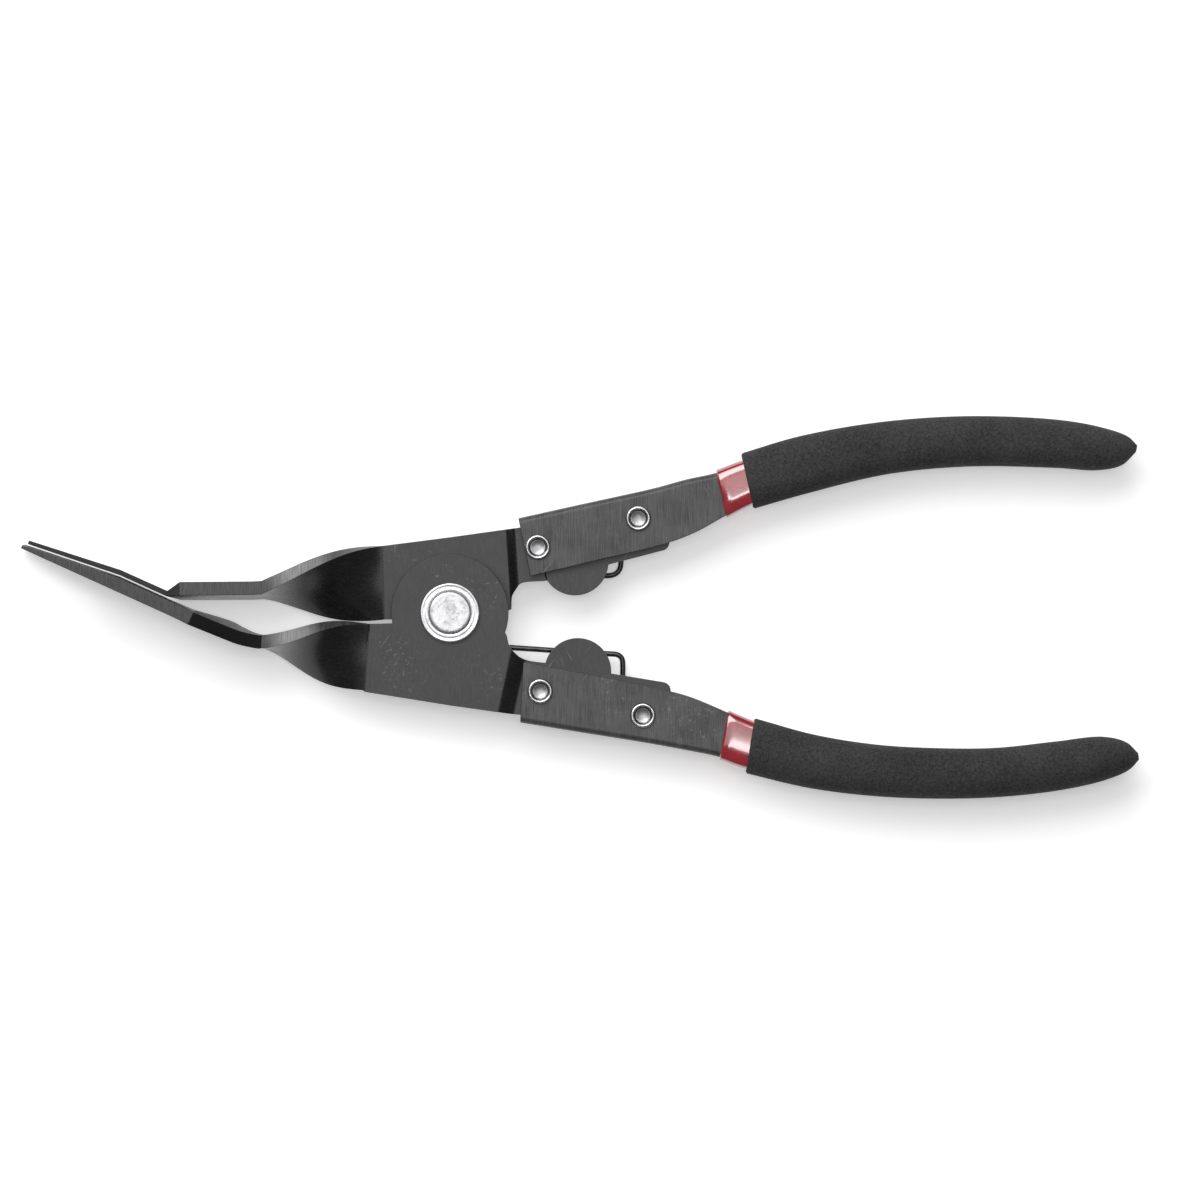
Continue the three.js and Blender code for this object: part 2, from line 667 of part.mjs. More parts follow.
// ---- Pivot and rivets --------------------------------------------------------------------
function pivotRivet() {
  const top = FRONT_HEAD_Z + FRONT_HEAD_H;
  return turned([
    [0, 0], [REAR_HEAD_R - 0.7, 0], [REAR_HEAD_R, 0.7], [REAR_HEAD_R, REAR_HEAD_H],
    [PIVOT_SHAFT_R, REAR_HEAD_H], [PIVOT_SHAFT_R, FRONT_HEAD_Z],
    [FRONT_HEAD_R, FRONT_HEAD_Z], [FRONT_HEAD_R, top - 0.2], [FRONT_HEAD_R - 0.2, top], [0, top],
  ], ROUND);
}

// A semi-tubular rivet: a round head behind, a rolled flange and a dished bore in front.
function tubularRivet(x, y) {
  const back = MID_Z - CHANNEL_HALF - RUN_GAP;
  const front = MID_Z + CHANNEL_HALF + RUN_GAP;
  return turned([
    [0, back - 0.7], [1.6, back - 0.6], [RIVET_FLANGE_R, back - 0.15], [RIVET_FLANGE_R, back],
    [RIVET_SHANK_R, back], [RIVET_SHANK_R, front], [RIVET_FLANGE_R, front],
    [RIVET_FLANGE_R, front + 0.3], [2.4, front + 0.65], [2, front + 0.65],
    [RIVET_BORE_R, front + 0.3], [RIVET_BORE_R, front - 0.9], [1.1, front - 1.4], [0, front - 1.6],
  ], SMALL_ROUND, x, y);
}

// ---- The assembly ------------------------------------------------------------------------
const pliers = new THREE.Group();

function piece(name, geometry, look) {
  const mesh = new THREE.Mesh(geometry, new THREE.MeshStandardMaterial(look));
  mesh.name = name;
  pliers.add(mesh);
}

piece('lower_jaw_plate', lowerJaw, steelBlack);
piece('upper_jaw_plate', upperJaw, steelBlack);
piece('pivot_rivet', pivotRivet(), steelBright);
piece('pivot_front_washer', washer(FRONT_WASHER_R, FRONT_WASHER_Z, FRONT_WASHER_H), steelBright);
piece('pivot_rear_washer', washer(REAR_WASHER_R, REAR_WASHER_Z, REAR_WASHER_H), steelBright);
piece('spring_collar', washer(COLLAR_R, COLLAR_Z, COLLAR_H), steelBright);
piece('torsion_spring', wire(springPath(), WIRE_R, WIRE_SIDES), springSteel);
piece('upper_handle_channel', upperChannel, steelChannel);
piece('lower_handle_channel', lowerChannel, steelChannel);
for (const [side, places] of [['upper', upperRivets], ['lower', lowerRivets]]) {
  for (const [i, [x, y]] of places.entries()) {
    piece(`${side}_tubular_rivet_${i + 1}`, tubularRivet(x, y), steelBright);
  }
}
piece('upper_grip_liner', upperHandle.liner, redVinyl);
piece('lower_grip_liner', lowerHandle.liner, redVinyl);
piece('upper_grip_sleeve', upperHandle.sleeve, blackRubber);
piece('lower_grip_sleeve', lowerHandle.sleeve, blackRubber);

export default pliers;
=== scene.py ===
import math

import bmesh
import bpy
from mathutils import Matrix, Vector


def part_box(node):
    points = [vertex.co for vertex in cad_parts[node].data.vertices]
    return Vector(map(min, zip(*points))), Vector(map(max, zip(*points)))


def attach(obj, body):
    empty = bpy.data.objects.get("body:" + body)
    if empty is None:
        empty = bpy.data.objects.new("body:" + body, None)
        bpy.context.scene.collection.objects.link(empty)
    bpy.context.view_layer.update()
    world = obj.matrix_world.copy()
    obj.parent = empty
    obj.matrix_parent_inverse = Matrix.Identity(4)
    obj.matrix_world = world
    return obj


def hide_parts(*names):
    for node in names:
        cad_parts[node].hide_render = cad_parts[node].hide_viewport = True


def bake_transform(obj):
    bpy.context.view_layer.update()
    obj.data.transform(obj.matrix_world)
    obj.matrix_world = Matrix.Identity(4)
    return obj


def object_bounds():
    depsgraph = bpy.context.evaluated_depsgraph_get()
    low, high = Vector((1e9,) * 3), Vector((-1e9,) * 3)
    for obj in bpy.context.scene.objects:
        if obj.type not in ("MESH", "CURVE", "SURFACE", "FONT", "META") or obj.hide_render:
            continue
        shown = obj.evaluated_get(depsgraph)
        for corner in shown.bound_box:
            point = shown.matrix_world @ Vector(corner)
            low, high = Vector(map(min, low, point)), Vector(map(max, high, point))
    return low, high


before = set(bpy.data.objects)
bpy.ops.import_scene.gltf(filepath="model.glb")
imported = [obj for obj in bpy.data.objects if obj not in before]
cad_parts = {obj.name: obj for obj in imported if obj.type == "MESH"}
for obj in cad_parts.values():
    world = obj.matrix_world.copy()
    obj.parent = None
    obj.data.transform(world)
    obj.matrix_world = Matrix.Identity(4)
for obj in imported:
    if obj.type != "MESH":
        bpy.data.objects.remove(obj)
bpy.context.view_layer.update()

MM = 0.001
LOWER = "lower_half"
UPPER = "upper_half"

# ---- Dimensions of the object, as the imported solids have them, in millimetres ---------------
MID_Z = 9.0                     # height of the middle of the handles and the nose
PLATE = 2.9                     # thickness of a jaw plate and its strap
PLATE_GAP = 0.3                 # gap between the two plates at the pivot
SHEET = 1.4                     # thickness of a channel's wall
CHANNEL_HALF = 3.0              # half a channel's height
BEND_R = 1.3                    # outside radius of a channel's bends
PIVOT_HOLE_R = 4.1
RIVET_HOLE_R = 2.2
TAB_R = 7.2                     # radius of the half-round stop tabs
FRONT_BOSS_R = 12.6             # radius of the round parts of the plates about the pivot
REAR_BOSS_R = 12.0
NOSE_ANGLE = 24.4               # degrees by which the nose is bent up
NOSE_START = (-56.2, -2.35)     # where the straight nose begins, on its lower face
NOSE_LENGTH = 39.4
KNEE_S = 18.0                   # distance along the nose at which the lower fork begins to thin
TIP_THICKNESS = 0.75
LOWER_FORK_WIDTH = 16.0
UPPER_FORK_WIDTH = 13.0
UPPER_FORK_BACK = 0.9           # how far the upper fork stops short of the lower one
UPPER_FORK_TWIST = 88.6         # degrees; the upper fork leans back from the lower one
FORK_GAP = 0.42                 # gap between the closed forks at half their width
SLOT_WIDTH = 7.5
SLOT_LENGTH = 20.0
LOWER_STRAP_WIDTH = 14.2
UPPER_STRAP_WIDTH = 15.8
WIRE_R = 0.6
COIL_R = 6.75                   # radius of the spring's coil at the middle of the wire
COIL_START = -93.7              # degrees round the pivot
COIL_END = -628.0
LOWER_LEG_Z = 3.35
COIL_PITCH = 1.26
HOOK_HOLE_R = 0.85
LOWER_HOOK = (37.2, -18.6)
UPPER_HOOK = (36.8, 16.4)
LINER_WALL = 0.65
LINER_HALF = 4.0                # half a liner's height
SLEEVE_HALF = 6.2               # half a sleeve's full height
SLEEVE_FULL_WIDTH = 10.2        # width below which a sleeve's height shrinks with it
SLEEVE_MOUTH = 0.86             # share of its full height that a sleeve has at its mouth
THROUGH = 20.0                  # height of a cutter that goes right through the tool
PIVOT_SIDES = 96                # sides of the round pieces and holes at the pivot
RIVET_SIDES = 72
RIVET_HOLE_SIDES = 48
HALVINGS = 40                   # steps after which a search by halves has settled

FRONT_PLATE_Z = MID_Z + PLATE_GAP / 2
REAR_PLATE_Z = MID_Z - PLATE_GAP / 2 - PLATE
TANG_Z = MID_Z - PLATE / 2

# Stations along the handles, each the outer and the inner edge point (x, y, x, y): first the part
# of a channel that shows, then the part inside the grip, then the grip sleeve itself.
LOWER_STRAIGHT = [
    (15.1, -23.65, 15.8, -10.7), (28, -25.75, 28.8, -13.1),
    (42, -28, 43.2, -16), (50, -29.45, 51.6, -18.15),
]
LOWER_COVERED = [
    (58, -31.1, 59.8, -21.55), (63.7, -33.1, 65.2, -23.8), (77, -35.6, 78.2, -28.1),
    (90.7, -37.4, 91.3, -30.7), (104.4, -38.1, 104.5, -31.5), (118.1, -37.4, 117.6, -31.1),
    (131.8, -35.5, 130.9, -30), (138.5, -33.8, 137.6, -29),
]
LOWER_GRIP = [
    (63.6, -34.6, 65.5, -22.7), (77, -37.75, 78.6, -26.3), (90.7, -39.5, 91.8, -28.4),
    (104.4, -40.1, 104.6, -29.15), (118.1, -39.75, 117.4, -29.1), (131.8, -38.2, 130.2, -27.75),
    (141.5, -35.95, 140.5, -26.7), (146.3, -33.8, 145.6, -27.9), (148.3, -31.7, 148.1, -30.2),
]
UPPER_STRAIGHT = [
    (14.7, 20.3, 17.4, 7.9), (28.4, 23.35, 31.2, 11.2),
    (44, 26.8, 46.9, 15), (51, 28.7, 53.1, 17.4),
]
UPPER_COVERED = [
    (57.3, 30.1, 59.4, 20.9), (62.9, 32.2, 65, 23.7), (76, 36, 77.5, 28.6), (93, 39, 93.9, 32.3),
    (111.4, 40.1, 111.5, 33.8), (130, 39.2, 129.4, 33.5), (138.5, 37.7, 137.5, 32.7),
]
UPPER_GRIP = [
    (62.6, 34.25, 65.3, 22.3), (74.9, 37.9, 77.6, 25.8), (92, 40.95, 94.2, 29.75),
    (111.3, 42.3, 111.6, 31.4), (131.9, 41.4, 130.4, 31.1), (141.5, 39.55, 139.4, 30.6),
    (146, 37.85, 144.6, 31.7), (147.9, 36, 147.6, 34.5),
]


# ---- Small helpers --------------------------------------------------------------------------
def lerp(a, b, t):
    return a + (b - a) * t


def smoothstep(t):
    u = min(max(t, 0.0), 1.0)
    return u * u * (3 - 2 * u)


def centre_of(node):
    """The middle of a CAD node's box, in millimetres."""
    low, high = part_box(node)
    return (Vector(low) + Vector(high)) / 2 / MM


def heights_of(node):
    """The bottom and the top of a CAD node, in millimetres."""
    low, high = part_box(node)
    return low[2] / MM, high[2] / MM


def catmull(points, t):
    """A point on the centripetal Catmull-Rom curve through points, t running from 0 to 1."""
    last = len(points) - 1
    place = min(max(t, 0.0), 1.0) * last
    i = min(int(place), last - 1)
    w = place - i
    p1, p2 = points[i], points[i + 1]
    p0 = points[i - 1] if i > 0 else 2 * p1 - p2
    p3 = points[i + 2] if i + 2 <= last else 2 * p2 - p1
    d0 = max((p1 - p0).length ** 0.5, 1e-4)
    d1 = max((p2 - p1).length ** 0.5, 1e-4)
    d2 = max((p3 - p2).length ** 0.5, 1e-4)
    t1 = ((p1 - p0) / d0 - (p2 - p0) / (d0 + d1) + (p2 - p1) / d1) * d1
    t2 = ((p2 - p1) / d1 - (p3 - p1) / (d1 + d2) + (p3 - p2) / d2) * d1
    a = 2 * p1 - 2 * p2 + t1 + t2
    b = -3 * p1 + 3 * p2 - 2 * t1 - t2
    return ((a * w + b) * w + t1) * w + p1


def curve_at_x(points, x):
    """The y of a left-going curve where it passes x."""
    low, high = 0.0, 1.0
    for _ in range(HALVINGS):
        middle = (low + high) / 2
        if catmull(points, middle).x > x:
            low = middle
        else:
            high = middle
    return catmull(points, (low + high) / 2).y


def finish_mesh(bm, name, materials, body, smooth=True):
    """Turns a bmesh in millimetres into an object in metres that rides on a CAD body."""
    bmesh.ops.scale(bm, vec=(MM, MM, MM), verts=bm.verts)
    bmesh.ops.recalc_face_normals(bm, faces=bm.faces)
    mesh = bpy.data.meshes.new(name)
    bm.to_mesh(mesh)
    bm.free()
    for material in materials:
        mesh.materials.append(material)
    if smooth:
        mesh.shade_smooth()
    obj = bpy.data.objects.new(name, mesh)
    bpy.context.scene.collection.objects.link(obj)
    if body:
        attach(obj, body)
    return obj


def soften(obj, width, segments=2, angle=35):
    """Rounds an object's sharp edges and keeps its flat faces flat in the shading."""
    bevel = obj.modifiers.new("rounded_edges", "BEVEL")
    bevel.width = width * MM
    bevel.segments = segments
    bevel.limit_method = "ANGLE"
    bevel.angle_limit = math.radians(angle)
    bevel.use_clamp_overlap = False
    bevel.miter_outer = "MITER_ARC"
    weighted = obj.modifiers.new("flat_faces", "WEIGHTED_NORMAL")
    weighted.keep_sharp = True
    weighted.weight = 60


def cut(obj, cutters):
    """Takes the cutters, each a bmesh in millimetres, out of an object."""
    joined = bmesh.new()
    for cutter in cutters:
        part = bpy.data.meshes.new("cutter_part")
        cutter.to_mesh(part)
        cutter.free()
        joined.from_mesh(part)
        bpy.data.meshes.remove(part)
    tool = finish_mesh(joined, "cutter", [], None, smooth=False)
    modifier = obj.modifiers.new("cut", "BOOLEAN")
    modifier.operation = "DIFFERENCE"
    modifier.solver = "EXACT"
    modifier.object = tool
    graph = bpy.context.evaluated_depsgraph_get()
    result = bpy.data.meshes.new_from_object(obj.evaluated_get(graph))
    obj.modifiers.remove(modifier)
    old = obj.data
    obj.data = result
    result.name = obj.name
    bpy.data.meshes.remove(old)
    cutter_mesh = tool.data
    bpy.data.objects.remove(tool)
    bpy.data.meshes.remove(cutter_mesh)


def circle(x, y, radius, sides):
    """Points round a circle."""
    turns = [2 * math.pi * i / sides for i in range(sides)]
    return [(x + radius * math.cos(a), y + radius * math.sin(a)) for a in turns]


def cylinder(x, y, radius, bottom, top, sides):
    bm = bmesh.new()
    prism(bm, circle(x, y, radius, sides), bottom, top)
    return bm


def prism(bm, outline, bottom, top):
    low = [bm.verts.new((x, y, bottom)) for x, y in outline]
    high = [bm.verts.new((x, y, top)) for x, y in outline]
    bm.faces.new(high)
    bm.faces.new(low[::-1])
    for i in range(len(outline)):
        j = (i + 1) % len(outline)
        bm.faces.new((low[i], low[j], high[j], high[i]))


def skin(bm, rings, cap_start=True, cap_end=True):
    """Joins rings of vertices, all the same length, into a tube, and gives its rows of faces."""
    count = len(rings[0])
    made = []
    for near, far in zip(rings, rings[1:]):
        row = []
        for i in range(count):
            j = (i + 1) % count
            row.append(bm.faces.new((near[i], near[j], far[j], far[i])))
        made.append(row)
    if cap_start:
        bm.faces.new(rings[0][::-1])
    if cap_end:
        bm.faces.new(rings[-1])
    return made


def new_ring(bm, points):
    return [bm.verts.new(p) for p in points]


# ---- Materials ------------------------------------------------------------------------------
class Look:
    """A node material under construction, with the object's own coordinates in millimetres."""

    def __init__(self, name, **inputs):
        self.material = bpy.data.materials.new(name)
        self.material.use_nodes = True
        self.tree = self.material.node_tree
        self.shader = self.tree.nodes["Principled BSDF"]
        for key, value in inputs.items():
            self.shader.inputs[key.replace("_", " ")].default_value = value
        coordinates = self.tree.nodes.new("ShaderNodeTexCoord")
        scaled = self.tree.nodes.new("ShaderNodeVectorMath")
        scaled.operation = "SCALE"
        scaled.inputs["Scale"].default_value = 1 / MM
        self.link(coordinates.outputs["Object"], scaled.inputs[0])
        self.place = scaled.outputs[0]

    def link(self, source, target):
        self.tree.links.new(source, target)

    def mapped(self, scale=(1, 1, 1), turn=0.0, shift=(0, 0, 0)):
        """Coordinates turned by degrees about Z and shifted, then stretched."""
        turned = self.tree.nodes.new("ShaderNodeMapping")
        turned.inputs["Rotation"].default_value = (0, 0, math.radians(turn))
        turned.inputs["Location"].default_value = shift
        self.link(self.place, turned.inputs["Vector"])
        stretched = self.tree.nodes.new("ShaderNodeMapping")
        stretched.inputs["Scale"].default_value = scale
        self.link(turned.outputs[0], stretched.inputs["Vector"])
        return stretched.outputs[0]

    def noise(self, coordinates, scale=1.0, detail=2.0, roughness=0.5, distortion=0.0):
        node = self.tree.nodes.new("ShaderNodeTexNoise")
        node.inputs["Scale"].default_value = scale
        node.inputs["Detail"].default_value = detail
        node.inputs["Roughness"].default_value = roughness
        node.inputs["Distortion"].default_value = distortion
        self.link(coordinates, node.inputs["Vector"])
        return node.outputs["Fac"]

    def remap(self, value, low, high, to_low, to_high):
        node = self.tree.nodes.new("ShaderNodeMapRange")
        node.inputs["From Min"].default_value = low
        node.inputs["From Max"].default_value = high
        node.inputs["To Min"].default_value = to_low
        node.inputs["To Max"].default_value = to_high
        self.link(value, node.inputs["Value"])
        return node.outputs["Result"]

    def math(self, operation, a, b):
        node = self.tree.nodes.new("ShaderNodeMath")
        node.operation = operation
        for socket, value in zip(node.inputs, (a, b)):
            if isinstance(value, (int, float)):
                socket.default_value = value
            else:
                self.link(value, socket)
        return node.outputs[0]

    def weighted_sum(self, *terms):
        """The sum of some values, each (socket, share), multiplied by their shares."""
        total = self.math("MULTIPLY", *terms[0])
        for term in terms[1:]:
            total = self.math("ADD", total, self.math("MULTIPLY", *term))
        return total

    def tint(self, factor, dark, light):
        """A colour between two, by a factor."""
        node = self.tree.nodes.new("ShaderNodeMix")
        node.data_type = "RGBA"
        node.inputs["A"].default_value = (*dark, 1)
        node.inputs["B"].default_value = (*light, 1)
        self.link(factor, node.inputs["Factor"])
        return node.outputs["Result"]

    def over(self, factor, base, top):
        """A colour socket with another colour laid over it by a factor."""
        node = self.tree.nodes.new("ShaderNodeMix")
        node.data_type = "RGBA"
        self.link(base, node.inputs["A"])
        node.inputs["B"].default_value = (*top, 1)
        self.link(factor, node.inputs["Factor"])
        return node.outputs["Result"]

    def plan_distance(self, x, y):
        """How far a point lies from the vertical line through (x, y)."""
        moved = self.tree.nodes.new("ShaderNodeVectorMath")
        moved.operation = "SUBTRACT"
        moved.inputs[1].default_value = (x, y, 0)
        self.link(self.place, moved.inputs[0])
        flat = self.tree.nodes.new("ShaderNodeVectorMath")
        flat.operation = "MULTIPLY"
        flat.inputs[1].default_value = (1, 1, 0)
        self.link(moved.outputs[0], flat.inputs[0])
        length = self.tree.nodes.new("ShaderNodeVectorMath")
        length.operation = "LENGTH"
        self.link(flat.outputs[0], length.inputs[0])
        return length.outputs["Value"]

    def spots(self, places):
        """White near any of the places, each (x, y, radius), fading to black."""
        total = 0.0
        for x, y, radius in places:
            near = self.remap(self.plan_distance(x, y), 0.35 * radius, radius, 1, 0)
            total = self.math("MAXIMUM", near, total)
        return total

    def color(self, socket):
        self.link(socket, self.shader.inputs["Base Color"])

    def roughness(self, socket):
        self.link(socket, self.shader.inputs["Roughness"])

    def bump(self, height, strength, distance):
        """Surface relief, its distance in millimetres."""
        node = self.tree.nodes.new("ShaderNodeBump")
        node.inputs["Strength"].default_value = strength
        node.inputs["Distance"].default_value = distance * MM
        self.link(height, node.inputs["Height"])
        self.link(node.outputs[0], self.shader.inputs["Normal"])

    def scratches(self, turn, shift, length=9.0, fineness=7.0, keep=0.70):
        """Sparse fine lines running at an angle, white where there is one."""
        lines = self.noise(self.mapped((fineness, 1 / length, 1), turn, shift), 1.0, 1.5, 0.5)
        patch = self.noise(self.mapped((1, 1, 1), 0, (shift[1], shift[0], 3)), 0.16, 2.0, 0.6)
        fine = self.remap(lines, keep, keep + 0.05, 0, 1)
        return self.math("MULTIPLY", fine, self.remap(patch, 0.5, 0.62, 0, 1))


def grey(value):
    return (value, value, value * 1.02)


def black_oxide(
    name, dark, light, brush, rough=0.42, brush_depth=0.006, worn=0.25, shine=0.35, worn_places=(),
):
    """Blackened steel: fine brushing, soft blotches, small scuffs and scratches."""
    look = Look(name, Roughness=rough, Specular_IOR_Level=shine)
    grain = look.noise(look.mapped(brush), 1.0, 4.0, 0.65)
    blotch = look.noise(look.mapped(), 0.22, 3.0, 0.55)
    fine = look.noise(look.mapped(), 5.0, 2.0, 0.6)
    mixed = look.weighted_sum((grain, 0.5), (blotch, 0.25), (fine, 0.25))
    color = look.tint(look.remap(mixed, 0.38, 0.62, 0, 1), grey(dark), grey(light))
    scuff = look.remap(look.noise(look.mapped(shift=(4, 7, 0)), 1.3, 5.0, 0.7), 0.58, 0.7, 0, 1)
    where = look.remap(look.noise(look.mapped(shift=(9, 2, 0)), 0.11, 1.0, 0.5), 0.54, 0.66, 0, 0.7)
    if worn_places:
        where = look.math("MAXIMUM", where, look.spots(worn_places))
    scuffs = look.math("MULTIPLY", scuff, where)
    marks = look.math("MAXIMUM", scuffs, look.scratches(35, (3, 1, 0)))
    marks = look.math("MAXIMUM", marks, look.scratches(-28, (11, 5, 0), 7.0, 8.0))
    marks = look.math("MULTIPLY", marks, worn)
    look.color(look.over(marks, color, grey(0.3)))
    look.roughness(look.remap(mixed, 0.3, 0.7, rough - 0.07, rough + 0.07))
    look.bump(mixed, 0.5, brush_depth)
    return look.material


def sheared_edge(name, dark, light, painted_sheen_places=()):
    """The cut edge of a plate, marked across by the shear, with a painted sheen in some places that
    stands in for highlights.
    """
    look = Look(name, Roughness=0.4, Specular_IOR_Level=0.35)
    coarse = look.noise(look.mapped((3.4, 0.22, 0.12)), 1.0, 3.0, 0.7)
    fine = look.noise(look.mapped((9.0, 0.5, 0.3)), 1.0, 2.0, 0.6)
    mixed = look.weighted_sum((coarse, 0.65), (fine, 0.35))
    color = look.tint(look.remap(mixed, 0.38, 0.62, 0, 1), grey(dark), grey(light))
    # Painted highlight: the edge is made lighter where it would catch the light.
    if painted_sheen_places:
        places = look.spots(painted_sheen_places)
        painted_sheen = look.math("MULTIPLY", places, look.remap(mixed, 0.35, 0.6, 0.3, 0.85))
        color = look.over(painted_sheen, color, grey(0.3))
    look.color(color)
    look.roughness(look.remap(mixed, 0.35, 0.65, 0.34, 0.52))
    look.bump(mixed, 0.6, 0.03)
    return look.material


def turned_steel(name, dark, light, ring_pitch=0.28):
    """Bright steel turned about the pivot axis, with concentric marks and light scuffs."""
    look = Look(name, Metallic=1.0, Roughness=0.3)
    wander = look.math("MULTIPLY", look.noise(look.mapped(), 0.5, 2.0, 0.5), 0.35)
    rings_at = look.tree.nodes.new("ShaderNodeCombineXYZ")
    look.link(look.math("ADD", look.plan_distance(0, 0), wander), rings_at.inputs["X"])
    rings = look.noise(rings_at.outputs[0], 1 / ring_pitch, 3.0, 0.7)
    smear = look.noise(look.mapped(shift=(2, 3, 0)), 0.42, 4.0, 0.62, 0.6)
    specks = look.noise(look.mapped(shift=(5, 1, 0)), 1.6, 3.0, 0.6)
    mixed = look.weighted_sum((rings, 0.15), (smear, 0.55), (specks, 0.3))
    color = look.tint(look.remap(mixed, 0.38, 0.52, 0, 1), grey(dark), grey(light))
    scratches = look.math("MULTIPLY", look.scratches(60, (1, 2, 0), 4.0, 9.0), 0.5)
    look.color(look.over(scratches, color, grey(0.3)))
    look.roughness(look.remap(mixed, 0.35, 0.65, 0.4, 0.24))
    look.bump(mixed, 0.4, 0.012)
    return look.material


def plated(name, dark, light, rough=0.18):
    """Plated steel of the small rivets."""
    look = Look(name, Metallic=1.0, Roughness=rough)
    smear = look.noise(look.mapped(), 0.9, 3.0, 0.6)
    fine = look.noise(look.mapped(), 6.0, 2.0, 0.5)
    mixed = look.weighted_sum((smear, 0.7), (fine, 0.3))
    look.color(look.tint(look.remap(mixed, 0.36, 0.6, 0, 1), grey(dark), grey(light)))
    look.roughness(look.remap(mixed, 0.3, 0.7, rough + 0.06, rough - 0.06))
    look.bump(mixed, 0.3, 0.01)
    return look.material


def drawn_wire(name):
    look = Look(name, Metallic=1.0, Roughness=0.2)
    fine = look.noise(look.mapped((0.4, 5, 5)), 1.0, 3.0, 0.6)
    look.color(look.tint(look.remap(fine, 0.35, 0.65, 0, 1), grey(0.035), grey(0.09)))
    look.roughness(look.remap(fine, 0.3, 0.7, 0.18, 0.28))
    look.bump(fine, 0.4, 0.01)
    return look.material


def dipped_vinyl(name):
    """Glossy red dip: thick, a little uneven, with a bright skin."""
    look = Look(
        name, Roughness=0.16, IOR=1.5, Coat_Weight=1.0, Coat_Roughness=0.1, Coat_IOR=2.3,
    )
    cloud = look.noise(look.mapped(), 0.35, 3.0, 0.5)
    fine = look.noise(look.mapped(), 2.2, 3.0, 0.6)
    mixed = look.weighted_sum((cloud, 0.6), (fine, 0.4))
    deep, bright = (0.24, 0.002, 0.01), (0.4, 0.004, 0.018)
    look.color(look.tint(look.remap(mixed, 0.35, 0.65, 0, 1), deep, bright))
    look.roughness(look.remap(fine, 0.3, 0.7, 0.12, 0.22))
    look.bump(look.noise(look.mapped(), 0.55, 2.0, 0.5), 0.35, 0.12)
    return look.material


def grained_rubber(name):
    """Matt black sleeve with a fine open grain."""
    look = Look(name, Roughness=0.85, Specular_IOR_Level=0.2)
    grain = look.noise(look.mapped(), 3.1, 5.0, 0.72)
    pores = look.noise(look.mapped(shift=(3, 8, 1)), 1.7, 3.0, 0.6)
    cloud = look.noise(look.mapped(), 0.12, 3.0, 0.5)
    mixed = look.weighted_sum((grain, 0.6), (pores, 0.4))
    tone = look.weighted_sum((mixed, 0.85), (cloud, 0.15))
    look.color(look.tint(look.remap(tone, 0.38, 0.62, 0, 1), grey(0.014), grey(0.06)))
    look.roughness(look.remap(mixed, 0.35, 0.65, 0.92, 0.74))
    look.bump(mixed, 0.9, 0.16)
    return look.material


# Where the blackening is worn, and where the sheared edges get a painted sheen that stands in for
# highlights: (x, y, radius).
WORN_PLACES = (
    (-10.8, -10.2, 7), (-9.7, -16.2, 4), (8, 5, 6), (10.8, -15, 4), (52, -22, 9), (36, -19, 5),
)
PAINTED_SHEEN_PLACES = ((-32.5, 9.8, 8), (-33.5, -4.8, 6.5))

PLATE_FACE = black_oxide(
    "black_oxide_plate", 0.032, 0.052, (2.4, 0.5, 1.2), worn=0.5, worn_places=WORN_PLACES,
)
# A much darker copy of the plate's blackened steel for the straps' faces and the tangs' offset
# steps: painted shade where they turn away from the light.
SHADED_STRAP_FACE = black_oxide(
    "black_oxide_painted_shade_strap", 0.006, 0.015, (1.2, 2.0, 0.8), rough=0.27, brush_depth=0.004, worn=0.05,
)
EDGE = sheared_edge("sheared_edge_steel", 0.024, 0.075, PAINTED_SHEEN_PLACES)
# A near-black copy of the edge steel for the edges in the lower strap's bend: painted shade.
SHADED_BEND_EDGE = black_oxide(
    "painted_shade_bend_edge_steel", 0.003, 0.007, (2.0, 1.0, 1.0),
    rough=0.5, brush_depth=0.01, worn=0.0, shine=0.09,
)
# A darker copy of the edge steel for the upper fork's edges: painted shade on the recessed fork.
SHADED_FORK_EDGE = black_oxide(
    "painted_shade_fork_edge_steel", 0.017, 0.037, (3.0, 0.6, 0.5),
    rough=0.45, brush_depth=0.01, worn=0.1, shine=0.17,
)
# A lighter streaked copy of the edge steel for the inner face in the lower strap's bend: the
# streaks are texture, the lightness is painted glare.
PAINTED_GLARE_FACE = sheared_edge("painted_glare_bend_steel", 0.035, 0.17)
CHANNEL = black_oxide(
    "brushed_channel_steel", 0.018, 0.09, (3.8, 0.16, 0.5),
    rough=0.38, brush_depth=0.014, worn=0.6, shine=0.38, worn_places=WORN_PLACES,
)
TURNED = turned_steel("turned_steel", 0.34, 0.62)
RING = turned_steel("turned_ring_steel", 0.56, 0.8, ring_pitch=0.36)
PLATED = plated("plated_steel", 0.45, 0.68, rough=0.24)
# Dark and mid-grey copies of the rivets' plating: painted shade in the bores, round the flanges and
# in the dishes.
SHADED_BORE = plated("painted_shade_bore_steel", 0.05, 0.16)
SHADED_DISH = plated("painted_shade_dish_steel", 0.22, 0.45, rough=0.34)
WIRE = drawn_wire("black_wire")
RED = dipped_vinyl("red_vinyl")
RUBBER = grained_rubber("grained_black_rubber")


# ---- Jaw plates -----------------------------------------------------------------------------
ACROSS = 12                     # divisions across a strap's wide face
TWIST_STEPS = 44
JOGGLE_STEPS = 10
JOGGLE_FACE_Z = (0.2, 0.985)    # the offset step's faces lean: walls have less, flat faces more

